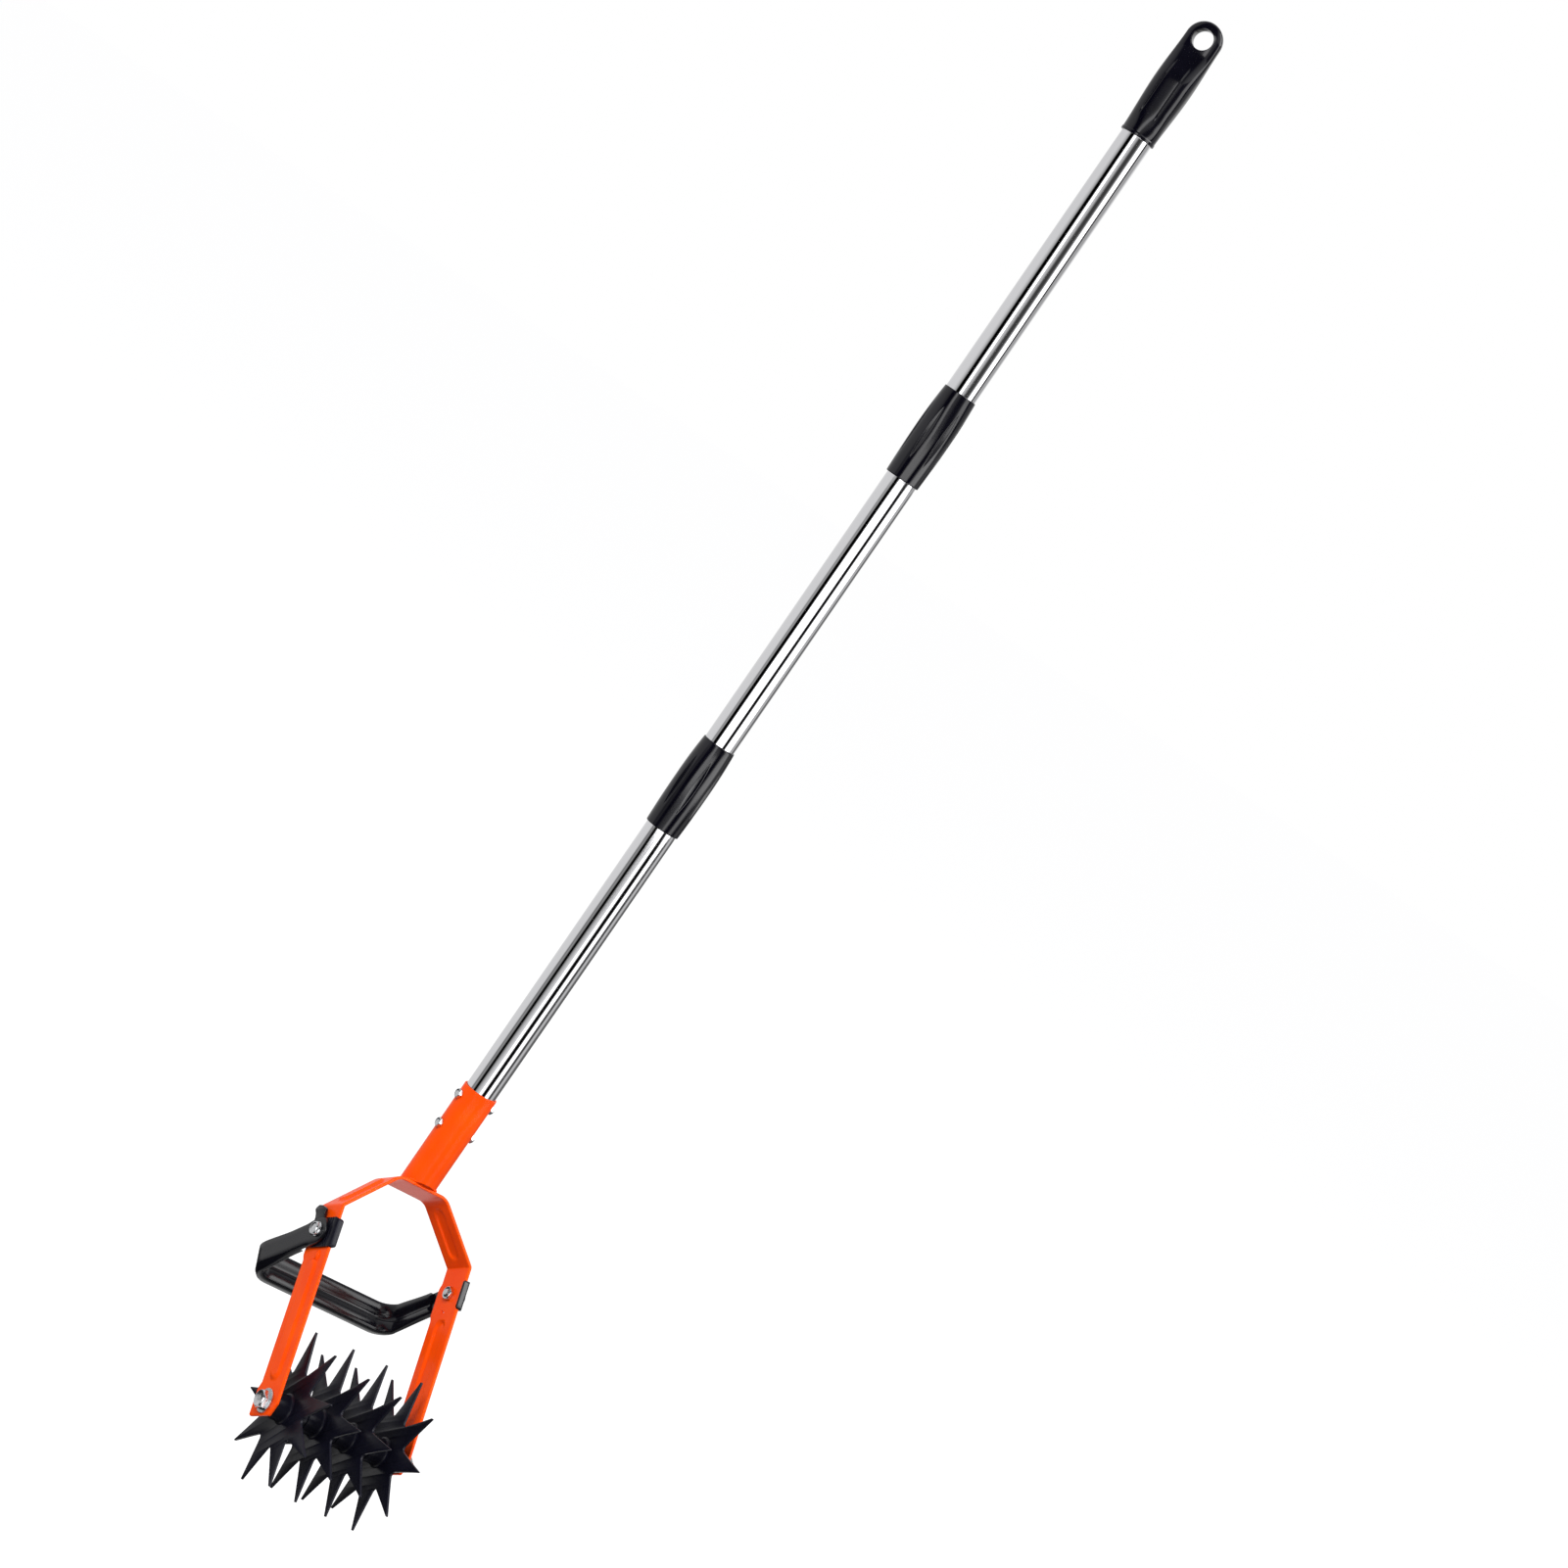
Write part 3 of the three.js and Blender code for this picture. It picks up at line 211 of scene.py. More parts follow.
def arc(centre_y, centre_z, radius, start, end, steps):
    turns = [start + (end - start) * i / steps for i in range(steps + 1)]
    return [(centre_y + radius * math.cos(turn), centre_z + radius * math.sin(turn)) for turn in turns]


def rounded(left, right, low, high, radius, steps=8):
    quarter = math.pi / 2
    return (arc(right - radius, high - radius, radius, 0, quarter, steps)
            + arc(left + radius, high - radius, radius, quarter, 2 * quarter, steps)
            + arc(left + radius, low + radius, radius, 2 * quarter, 3 * quarter, steps)
            + arc(right - radius, low + radius, radius, 3 * quarter, 4 * quarter, steps))


def moved(shape, matrix):
    return [matrix @ Vector(p) for p in shape[0]], shape[1]


def both(*shapes):
    points, faces = [], []
    for more, others in shapes:
        start = len(points)
        points.extend(more)
        faces.extend(tuple(i + start for i in face) for face in others)
    return points, faces


# Lays a shape made along Z along X
ALONG_X = Matrix(((0, 0, 1, 0), (1, 0, 0, 0), (0, 1, 0, 0), (0, 0, 0, 1)))


MERGE_METRES = 2e-6


def solid(name, shape, place):
    mesh = bpy.data.meshes.new(name)
    mesh.from_pydata([place @ Vector(p) for p in shape[0]], [], shape[1])
    work = bmesh.new()
    work.from_mesh(mesh)
    bmesh.ops.remove_doubles(work, verts=work.verts, dist=MERGE_METRES)
    bmesh.ops.recalc_face_normals(work, faces=work.faces)
    work.to_mesh(mesh)
    work.free()
    made = bpy.data.objects.new(name, mesh)
    bpy.context.scene.collection.objects.link(made)
    return made


def applied(piece):
    bpy.context.view_layer.update()
    graph = bpy.context.evaluated_depsgraph_get()
    mesh = bpy.data.meshes.new_from_object(piece.evaluated_get(graph))
    piece.modifiers.clear()
    old = piece.data
    piece.data = mesh
    bpy.data.meshes.remove(old)
    mesh.name = piece.name


def carved(piece, *tools, operation="DIFFERENCE"):
    for tool in tools:
        modifier = piece.modifiers.new("cut", "BOOLEAN")
        modifier.operation = operation
        modifier.solver = "EXACT"
        modifier.object = tool
    applied(piece)
    for tool in tools:
        mesh = tool.data
        bpy.data.objects.remove(tool)
        bpy.data.meshes.remove(mesh)


def bevelled(piece, width, segments, angle):
    modifier = piece.modifiers.new("bevel", "BEVEL")
    modifier.width = width * MM
    modifier.segments = segments
    modifier.limit_method = "ANGLE"
    modifier.angle_limit = math.radians(angle)
    modifier.use_clamp_overlap = True
    applied(piece)


def finished(piece, surface, body, slot, *nodes, crease=32):
    piece.data.materials.clear()
    piece.data.materials.append(surface)
    piece.data.polygons.foreach_set("use_smooth", [True] * len(piece.data.polygons))
    piece.data.set_sharp_from_angle(angle=math.radians(crease))
    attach(piece, body)
    if nodes:
        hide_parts(*nodes)


def smooth(value, low=0.0, high=1.0):
    t = min(max((value - low) / (high - low), 0), 1)
    return t * t * (3 - 2 * t)


# Pole: foot and top of each tube, middle and turn of each connector

TUBE_RADIUS = 12.5
TUBE_WALL = 1
TUBE_EDGE = 0.25
TUBE_SIDES = 128
TUBES = {"lower_tube": (40, 369.4), "middle_tube": (373.4, 683), "upper_tube": (687, 993.5)}


def make_tubes():
    inner, outer, edge = TUBE_RADIUS - TUBE_WALL, TUBE_RADIUS, TUBE_EDGE
    for name, (foot, top) in TUBES.items():
        middle = (foot + top) / 2
        profile = [(inner, foot), (outer - edge, foot), (outer, foot + edge), (outer, middle),
                   (outer, top - edge), (outer - edge, top), (inner, top), (inner, middle)]
        piece = solid(name + "_skin", revolved(profile, TUBE_SIDES), POLE)
        finished(piece, POLISHED, "frame", "polished_steel", name)


CONNECTORS = {"lower_connector": (371.4, math.radians(18.6)), "upper_connector": (685, math.radians(-11.5))}
CONNECTOR_HALF = 38
CONNECTOR_FOOT_RADIUS = 13.8
CONNECTOR_TOP_RADIUS = 13.3
CONNECTOR_WIDEST_RADIUS = 14.7
CONNECTOR_WIDEST_SHARE = 0.55
CONNECTOR_SIDES = 360
CONNECTOR_STEPS = 90
CONNECTOR_FOOT_EDGE = ((0, 0.5), (0.15, 0.15), (0.5, 0))
CONNECTOR_TOP_EDGE = ((0.45, 0), (0.12, 0.1), (0, 0.4))
GROOVES = 7
GROOVE_MIDDLE = 1.5
GROOVE_HALF_LENGTH = 23
GROOVE_HALF_WIDTH = 2.2
GROOVE_DEPTH = 1.2


def connector_radius(height, angle):
    share = height / (2 * CONNECTOR_HALF) + 0.5
    middle, widest = CONNECTOR_WIDEST_SHARE, CONNECTOR_WIDEST_RADIUS
    if share < middle:
        radius = widest - (widest - CONNECTOR_FOOT_RADIUS) * (1 - share / middle) ** 2
    else:
        radius = widest - (widest - CONNECTOR_TOP_RADIUS) * ((share - middle) / (1 - middle)) ** 2
    sector = 2 * math.pi / GROOVES
    aside = abs((angle % sector) - sector / 2) * radius
    along = (height - GROOVE_MIDDLE) / GROOVE_HALF_LENGTH
    if abs(along) < 1:
        narrowing = math.cos(along * math.pi / 2) ** 0.8
        place = aside / max(GROOVE_HALF_WIDTH * narrowing, 0.01)
        if place < 1:
            radius -= GROOVE_DEPTH * narrowing * (1 - place ** 1.3)
    return radius


def make_connectors():
    half, sides, steps = CONNECTOR_HALF, CONNECTOR_SIDES, CONNECTOR_STEPS
    rows = [(-half + up, inset) for up, inset in CONNECTOR_FOOT_EDGE]
    rows += [(-half + 1 + (2 * half - 2) * i / steps, 0) for i in range(steps + 1)]
    rows += [(half - down, inset) for down, inset in CONNECTOR_TOP_EDGE]
    turns = [2 * math.pi * k / sides for k in range(sides)]
    for name, (middle, turn) in CONNECTORS.items():
        rings = [circle(SLEEVE_RADIUS, -half, sides)]
        for height, inset in rows:
            radii = [connector_radius(height, a) - inset for a in turns]
            rings.append([(math.cos(a) * r, math.sin(a) * r, height) for a, r in zip(turns, radii)])
        rings.append(circle(SLEEVE_RADIUS, half, sides))
        place = POLE @ Matrix.Translation((0, 0, middle)) @ Matrix.Rotation(turn, 4, "Z")
        piece = solid(name + "_sleeve", loft(rings, looped=True), place)
        finished(piece, BLACK_PLASTIC, "frame", "black_plastic", name, crease=50)


# Grip: heights from the hole's centre, X across its flat end

GRIP_MOUTH = -84.7
GRIP_MOUTH_RADIUS = 13.7
GRIP_WIDEST_HEIGHT = -39
GRIP_WIDEST_RADIUS = 15.5
GRIP_END_RADIUS = 14.3
GRIP_END_HALF = 6
GRIP_SLOPE_START = -40.5
GRIP_FLAT_START = -6
GRIP_PANEL_HALF = 6.3
GRIP_PANEL_FOOT = -70
GRIP_PANEL_TOP = -21
GRIP_PANEL_BLEND = 30
GRIP_GROOVE_HALF = 0.7
GRIP_GROOVE_DEPTH = 0.45
GRIP_LIP = ((0, 0), (0.2, 0.3), (1.9, 0.3), (2.3, 0.2), (2.7, 0.02))
GRIP_BODY_START = 3.5
GRIP_BODY_STEPS = 130
GRIP_END_STEPS = 16
GRIP_BORE = (-90, -39.4)
HOLE_RADIUS = 8
HOLE_ROUNDING = (1.4, 1.6)


def grip_section(height):
    round_off = math.sqrt(max(1 - (max(height, 0) / GRIP_END_RADIUS) ** 2, 0))
    mouth, widest = GRIP_MOUTH_RADIUS, GRIP_WIDEST_RADIUS
    swelling = mouth + (widest - mouth) * smooth(height, GRIP_MOUTH, GRIP_WIDEST_HEIGHT)
    narrowing = 1 - (1 - GRIP_END_RADIUS / widest) * smooth(height, GRIP_WIDEST_HEIGHT, 0)
    slope = min(max((height - GRIP_SLOPE_START) / (GRIP_FLAT_START - GRIP_SLOPE_START), 0), 1)
    flat = 0.2 * slope + 0.8 * smooth(slope)
    square = smooth(height, GRIP_MOUTH + 3, GRIP_MOUTH + 24)
    width = swelling * narrowing * round_off * (1 - 0.025 * square * (1 - flat))
    thickness = (mouth + (GRIP_END_HALF - mouth) * flat) * math.sqrt(round_off)
    return width, thickness, 2 + 0.6 * square + 0.6 * flat, flat, square


def grip_groove(x, height):
    share = (height - GRIP_PANEL_FOOT) / (GRIP_PANEL_TOP - GRIP_PANEL_FOOT)
    if not 0 < share < 1:
        return 0
    aside = abs(abs(x) - GRIP_PANEL_HALF) / GRIP_GROOVE_HALF
    return GRIP_GROOVE_DEPTH * max(1 - aside, 0) * min(1, 6 * min(share, 1 - share))


def grip_ring(height, step):
    width, thickness, power, flat, square = grip_section(height)
    level = thickness * (1.05 - 0.095 * square + 0.025 * flat)
    edge = min(GRIP_PANEL_HALF + 1.2, 0.6 * width)
    blend = GRIP_PANEL_BLEND

    def face(x):
        bulge = thickness * (1 - (abs(x) / width) ** power) ** (1 / power)
        return (bulge ** -blend + level ** -blend) ** (-1 / blend) - grip_groove(x, height) + step

    ring = [(x, -face(x)) for x in (-edge + 2 * edge * k / 100 for k in range(101))]
    limit = math.acos((edge / width) ** (power / 2))
    for k in range(1, 90):
        angle = -limit + 2 * limit * k / 90
        x = abs(math.cos(angle)) ** (2 / power) * width
        ring.append((x + step * math.cos(angle), math.copysign(face(min(x, width * 0.99999)), angle)))
    return [(x, y, height) for x, y in ring] + [(-x, -y, height) for x, y in ring]


def grip_hole():
    across, deep = HOLE_ROUNDING
    edge = [(0, -9), (HOLE_RADIUS + 3.6, -9), (HOLE_RADIUS + 1.5, -6.1)]
    for turn in (math.pi / 2 * k / 5 for k in range(6)):
        radius = HOLE_RADIUS + across * (1 - math.sin(turn))
        edge.append((radius, -GRIP_END_HALF + deep * (1 - math.cos(turn))))
    return revolved(edge + [(r, -z) for r, z in reversed(edge)], looped=False)


def make_grip():
    rings = [grip_ring(GRIP_MOUTH + up, step) for up, step in GRIP_LIP]
    start = GRIP_MOUTH + GRIP_BODY_START
    rings += [grip_ring(start - start * i / GRIP_BODY_STEPS, 0) for i in range(GRIP_BODY_STEPS + 1)]
    rings += [grip_ring(GRIP_END_RADIUS * math.sin(math.pi / 2 * i / GRIP_END_STEPS) * 0.9995, 0)
              for i in range(1, GRIP_END_STEPS + 1)]
    piece = solid("grip_body", loft(rings), GRIP)
    foot, top = GRIP_BORE
    room = [(0, foot), (SLEEVE_RADIUS, foot), (SLEEVE_RADIUS, top), (0, top)]
    bore = solid("bore", revolved(room, looped=False), GRIP)
    hole = solid("hole", grip_hole(), GRIP @ Matrix.Rotation(math.pi / 2, 4, "X"))
    carved(piece, bore, hole)
    finished(piece, BLACK_PLASTIC, "frame", "black_plastic", "grip", crease=30)


# Fasteners along X, with their seat at x = 0: heads stand towards -X, nuts towards +X

M4 = {"flats": 7, "head": 2.8, "dish": 0.4, "nut": 3.2, "bore": 2.05, "radius": 2, "pitch": 0.7}
M6 = {"flats": 10, "head": 4, "dish": 0.7, "nut": 3.4, "bore": 3.4, "radius": 3, "pitch": 1}
M8 = {"flats": 13, "head": 5.3, "dish": 0.6, "nut": 6.5, "bore": 4.1, "radius": 4, "pitch": 1.25}
SHANK_PLAY = 0.1
WASHER_EDGE = 0.2
HEXAGON_SIDES = 72
HEAD_TOP_SHARE = 0.93
HEAD_CHAMFER_START = 0.62
NUT_TOP_SHARE = 0.94
ROD_SIDES = 48
THREAD_DEPTH = 0.6
THREAD_STEPS = 8
THREAD_POINT = 0.12


def hexagon_ring(flats, limit, x):
    sector = math.pi / 3
    ring = []
    for i in range(HEXAGON_SIDES):
        angle = 2 * math.pi * i / HEXAGON_SIDES
        radius = min(flats / 2 / math.cos((angle % sector) - sector / 2), limit)
        ring.append((x, radius * math.cos(angle), radius * math.sin(angle)))
    return ring


def hex_head(size, washer=0.0):
    flats, height, dish = size["flats"], size["head"], size["dish"]
    corner, top = flats / math.sqrt(3), flats / 2 * HEAD_TOP_SHARE
    if washer:
        rings = [ring_along_x(x, radius, HEXAGON_SIDES) for x, radius in
                 ((0, washer - 0.2), (-0.2, washer), (-0.9, washer), (-1.25, washer - 0.35))]
    else:
        rings = [hexagon_ring(flats, corner - 0.15, 0), hexagon_ring(flats, corner, -0.15)]
    for share in (HEAD_CHAMFER_START, 0.7, 0.78, 0.86, 0.93, 1):
        limit = corner - (corner - top) * (share - HEAD_CHAMFER_START) / (1 - HEAD_CHAMFER_START)
        rings.append(hexagon_ring(flats, limit, -height * share))
    for shrink, depth in ((0.9, 0.0), (0.84, 0.35), (0.7, 1.0), (0.3, 1.0)):
        rings.append(ring_along_x(-height + dish * depth, top * shrink, HEXAGON_SIDES))
    return loft(rings)


def hex_nut(size):
    flats, height, bore = size["flats"], size["nut"], size["bore"]
    corner, top = flats / math.sqrt(3), flats / 2 * NUT_TOP_SHARE
    between = (corner + top) / 2
    rings = [ring_along_x(0, bore, HEXAGON_SIDES), hexagon_ring(flats, top, 0)]
    for share, limit in ((0.08, between), (0.2, corner), (0.7, corner), (0.85, between), (1, top)):
        rings.append(hexagon_ring(flats, limit, height * share))
    for down, radius in ((0, top * 0.9), (0.3, bore + 0.2), (0.7, bore)):
        rings.append(ring_along_x(height - down, radius, HEXAGON_SIDES))
    return loft(rings, looped=True)


def threaded(radius, start, end, pitch):
    depth = THREAD_DEPTH * pitch
    rings = [ring_along_x(start, radius - depth, ROD_SIDES)]
    count = int((end - start) / pitch * THREAD_STEPS)
    for k in range(count + 1):
        along = start + (end - start) * k / count
        pointed = THREAD_POINT * radius * (1 - smooth(end - along, 0, pitch))
        ring = []
        for i in range(ROD_SIDES):
            angle = 2 * math.pi * i / ROD_SIDES
            phase = (along / pitch - i / ROD_SIDES) % 1
            wave = 1 - abs(2 * phase - 1)
            tip = radius - depth * (1 - wave) - pointed
            ring.append((along, tip * math.cos(angle), tip * math.sin(angle)))
        rings.append(ring)
    return loft(rings)


def rod(radius, start, end):
    edge = 0.1 * radius
    stations = ((start, radius - edge), (start + edge, radius), (end - edge, radius), (end, radius - edge))
    return loft([ring_along_x(x, r, ROD_SIDES) for x, r in stations])


def bolt_shape(size, seat, shank, thread, washer=0.0):
    head = moved(hex_head(size, washer), Matrix.Translation((seat, 0, 0)))
    radius = size["radius"]
    return both(head, rod(radius - SHANK_PLAY, *shank), threaded(radius, *thread, size["pitch"]))


def washer_shape(outer, bore, thickness):
    edge = WASHER_EDGE
    profile = [(bore, 0), (outer - edge, 0), (outer, edge), (outer, thickness - edge),
               (outer - edge, thickness), (bore + edge, thickness), (bore, thickness - edge)]
    return moved(revolved(profile, HEXAGON_SIDES), ALONG_X)


# Socket, with its weld bead and its cross bolts

SOCKET_RADIUS = 14
SOCKET_HEIGHT = 93
SOCKET_FOOT = TOP_RISE + 0.05
SOCKET_SIDES = 144
SOCKET_ROUNDING = 0.4
SOCKET_BOLT_HEIGHTS = (57.6, 84)
SOCKET_SEAT = 14.05
SOCKET_SHANK = (-14.1, 18)
SOCKET_THREAD = (16.2, 18.5)
WELD_STEPS = 576
WELD_SIDES = 12
WELD_HALF = (1.5, 1.7)
WELD_REACH = 14.4
WELD_RIPPLE = 0.13
WELD_RIPPLES = 34


def slanted_ring(radius):
    return [(x, y, (SOCKET_FOOT - y * math.sin(HEAD_BEND)) / math.cos(HEAD_BEND))
            for x, y, _ in circle(radius, 0, SOCKET_SIDES)]


def socket_shape():
    inner, outer, high, sides = SLEEVE_RADIUS, SOCKET_RADIUS, SOCKET_HEIGHT, SOCKET_SIDES
    foot = slanted_ring(outer)
    rings = [slanted_ring(inner), foot]
    for share in (0.1, 0.3, 0.6, 1):
        rings.append([(x, y, z + (high - SOCKET_ROUNDING - z) * share) for x, y, z in foot])
    rings += [circle(outer - 0.12, high - 0.12, sides), circle(outer - SOCKET_ROUNDING, high, sides),
              circle(inner + 0.3, high, sides), circle(inner, high - 0.3, sides)]
    return moved(loft(rings, looped=True), POLE)


def weld_shape():
    wide, tall = WELD_HALF
    rings = []
    for i in range(WELD_STEPS):
        a = 2 * math.pi * i / WELD_STEPS
        ripple = 1 + WELD_RIPPLE * math.sin(WELD_RIPPLES * a + 0.5 * math.sin(5 * a))
        outwards = Vector((math.cos(a), math.sin(a), 0))
        across = -TOP_RISE * math.tan(HEAD_BEND) + SOCKET_RADIUS / math.cos(HEAD_BEND) * math.sin(a)
        across = min(max(across, -WELD_REACH), WELD_REACH)
        centre = Vector((SOCKET_RADIUS * math.cos(a), across, TOP_RISE + 0.5))
        ring = []
        for turn in (2 * math.pi * k / WELD_SIDES for k in range(WELD_SIDES)):
            point = centre + outwards * (wide * ripple * math.cos(turn))
            ring.append((point.x, point.y, max(point.z + tall * ripple * math.sin(turn), TOP_RISE + 0.03)))
        rings.append(ring)
    return moved(loft(rings, looped=True), HEAD)


def make_socket():
    piece = solid("socket_shell", both(socket_shape(), weld_shape()), Matrix.Identity(4))
    finished(piece, ORANGE, "frame", "orange_paint", "socket_tube", crease=30)
    for i, height in enumerate(SOCKET_BOLT_HEIGHTS, 1):
        place = POLE @ Matrix.Translation((0, 0, height))
        bolt = bolt_shape(M4, -SOCKET_SEAT, SOCKET_SHANK, SOCKET_THREAD)
        finished(solid(f"socket_bolt_{i}_zinc", bolt, place), ZINC, "frame", "zinc_steel", f"socket_bolt_{i}")
        nut = moved(hex_nut(M4), Matrix.Translation((SOCKET_SEAT, 0, 0)))
        finished(solid(f"socket_nut_{i}_zinc", nut, place), ZINC, "frame", "zinc_steel", f"socket_nut_{i}")


# Yoke: half of its strip is described by stations from the middle of the top plate to the arm's foot

STRIP = 2.5
STRIP_EDGE = 0.7
HALF_STRIP = 15
TOP_CORNER = 22.5
TOP_BEND = 14
SHOULDER_DROP = 35.8
SHOULDER_BEND = 4.5
SHOULDER_RIB = 42.5
ARM_FOOT = 200.5
RIB_HEIGHT = 1.7
RIB_SLOPE = 2.2
RIB_HALF = 7
RIB_START = PIVOT_DROP + 20.5
RIB_END = AXLE_DROP - 16
RIB_ROUNDING = 10
EAR_OUT = 2
EAR_TOP = PIVOT_DROP - 4
EAR_FOOT = PIVOT_DROP + 17
EAR_RUN = 5
FOOT_EAR_OUT = 3
FOOT_EAR_START = AXLE_DROP - 15
FOOT_REAR_CUT = 1.5
FOOT_FRONT_CUT = (6, 9)
ACROSS = [-1, -0.8, -0.6, -0.5, -0.47, -0.44, -0.41, -0.38, -0.35, -0.32, -0.29, -0.15,
          0, 0.15, 0.29, 0.32, 0.35, 0.38, 0.41, 0.44, 0.47, 0.5, 0.6, 0.8, 1]
SLOT_PLACE = (ARM_OUTSIDE, 2.3, -PIVOT_DROP - 14.4)
SLOT_TURN = math.radians(-61)
SLOT_HALF = (6, 0.8, 2.3)
POCKET_PLACE = (-ARM_OUTSIDE, -1.2, -PIVOT_DROP - 19.2)
POCKET_HALF = (1.4, 0.8, 4.2)
TAB_TOP = -PIVOT_DROP - 14.6
TAB_LENGTH = 9.4
TAB_MIDDLE = -4
TAB_HALF = 2.2
TAB_OUT = 2.1


def rib_height(along, across, start, end):
    nearest = min(max(along, start + RIB_HALF), end - RIB_HALF)
    distance = math.hypot(along - nearest, across)
    return RIB_HEIGHT * smooth(RIB_HALF - distance, 0, RIB_SLOPE)


def arm_edges(depth):
    def ramp(start, end):
        return min(max((depth - start) / (end - start), 0), 1)

    ear_start = smooth(depth, EAR_TOP - EAR_RUN, EAR_TOP)
    ear_end = smooth(depth, EAR_FOOT, EAR_FOOT + EAR_RUN)
    ear = EAR_OUT * min(ear_start, 1 - ear_end)
    foot_ear = FOOT_EAR_OUT * ramp(FOOT_EAR_START, FOOT_EAR_START + EAR_RUN)
    rear_cut = FOOT_REAR_CUT * ramp(ARM_FOOT - FOOT_REAR_CUT, ARM_FOOT)
    cut, run = FOOT_FRONT_CUT
    return HALF_STRIP + ear + foot_ear - rear_cut, -HALF_STRIP + cut * ramp(ARM_FOOT - run, ARM_FOOT)


def arm_depths():
    quarters = [EAR_RUN * i / 4 for i in range(5)]
    roundings = [RIB_ROUNDING * i / 12 for i in range(13)]
    depths = {FOOT_EAR_START, FOOT_EAR_START + EAR_RUN}
    depths |= {ARM_FOOT - FOOT_FRONT_CUT[1], ARM_FOOT - FOOT_REAR_CUT}
    depths |= {EAR_TOP - EAR_RUN + run for run in quarters} | {EAR_FOOT + run for run in quarters}
    depths |= {RIB_START + run for run in roundings} | {RIB_END - run for run in roundings}
    depths |= {RIB_START + 20 + 12 * i for i in range(6)}
    return sorted(depths)


def yoke_stations():
    slope = math.atan2(SHOULDER_DROP + TOP_RISE, ARM_OUTSIDE - TOP_CORNER)
    top_tangent = TOP_BEND * math.tan(slope / 2)
    low_tangent = SHOULDER_BEND * math.tan((math.pi / 2 - slope) / 2)
    stations = []

    def add(x, z, turn, edges=(HALF_STRIP, -HALF_STRIP), rib=None, inset=0.0):
        stations.append((x, z, math.sin(turn), math.cos(turn), edges, rib, inset))

    for x in (0, 8):
        add(x, TOP_RISE, 0)
    for i in range(13):
        turn = slope * i / 12
        x = TOP_CORNER - top_tangent + TOP_BEND * math.sin(turn)
        add(x, TOP_RISE - TOP_BEND + TOP_BEND * math.cos(turn), turn)
    start = top_tangent + 0.6
    end = start + SHOULDER_RIB
    for i in range(49):
        along = start + SHOULDER_RIB * i / 48
        add(TOP_CORNER + along * math.cos(slope), TOP_RISE - along * math.sin(slope), slope,
            rib=lambda across, at=along: rib_height(at, across, start, end))
    for i in range(9):
        turn = slope + (math.pi / 2 - slope) * i / 8
        x = ARM_OUTSIDE - SHOULDER_BEND + SHOULDER_BEND * math.sin(turn)
        z = -SHOULDER_DROP - low_tangent + SHOULDER_BEND * math.cos(turn)
        add(x, z, turn, arm_edges(-z))
    for depth in arm_depths():
        add(ARM_OUTSIDE, -depth, math.pi / 2, arm_edges(depth),
            rib=lambda across, at=depth: rib_height(at, across, RIB_START, RIB_END))
    for up, inset in ((0.6, 0), (0.18, 0.18), (0, 0.6)):
        add(ARM_OUTSIDE, up - ARM_FOOT, math.pi / 2, arm_edges(ARM_FOOT - up), inset=inset)
    return stations


def yoke_ring(station, side):
    x, z, nx, nz, (rear, front), rib, inset = station
    edge = STRIP_EDGE
    turns = [math.pi / 2 * k / 4 for k in range(1, 4)]
    ring = []

    def at(across, out):
        ring.append((side * (x + nx * out), across, z + nz * out))

    def reach(share):
        return share * (rear - edge) if share > 0 else -share * (front + edge)

    def lift(share):
        return rib(share * HALF_STRIP) if rib else 0.0

    for share in ACROSS:
        at(reach(share), lift(share) - inset)
    for t in turns:
        at(rear - edge + edge * math.sin(t), -edge + edge * math.cos(t) - inset)
    at(rear - inset, -edge - inset)
    at(rear - inset, -STRIP + edge + inset)
    for t in turns:
        at(rear - edge + edge * math.cos(t), -STRIP + edge - edge * math.sin(t) + inset)
    for share in reversed(ACROSS):
        at(reach(share), lift(share) - STRIP + inset)
    for t in turns:
        at(front + edge - edge * math.sin(t), -STRIP + edge - edge * math.cos(t) + inset)
    at(front + inset, -STRIP + edge + inset)
    at(front + inset, -edge - inset)
    for t in turns:
        at(front + edge - edge * math.cos(t), -edge + edge * math.sin(t) - inset)
    return ring


def block(half):
    return box_shape([-size for size in half], half)


def tab_shape():
    rings = []
    for share in (i / 12 for i in range(13)):
        swell = max(math.sin(math.pi * min(0.06 + share, 1)) ** 0.6, 0.03)
        ring = []
        for turn in (2 * math.pi * k / 20 for k in range(20)):
            out = TAB_OUT * swell * max(math.sin(turn), -0.2)
            ring.append((0.2 - ARM_OUTSIDE - out, TAB_MIDDLE + TAB_HALF * swell * math.cos(turn),
                         TAB_TOP - TAB_LENGTH * share))
        rings.append(ring)
    return loft(rings)


def make_yoke():
    half = yoke_stations()
    rings = [yoke_ring(station, -1) for station in reversed(half[1:])]
    rings += [yoke_ring(station, 1) for station in half]
    piece = solid("yoke_strip", loft(rings), HEAD)
    slot_place = HEAD @ Matrix.Translation(SLOT_PLACE) @ Matrix.Rotation(SLOT_TURN, 4, "X")
    slot = solid("slot", block(SLOT_HALF), slot_place)
    pocket = solid("pocket", block(POCKET_HALF), HEAD @ Matrix.Translation(POCKET_PLACE))
    carved(piece, slot, pocket)
    finished(piece, ORANGE, "frame", "orange_paint", "yoke", crease=30)
    tab = solid("yoke_tab", tab_shape(), HEAD)
    finished(tab, ORANGE, "frame", "orange_paint", crease=40)


# Brackets, made for the +X arm: X across the arm, Y towards the rear, Z up, from the pivot

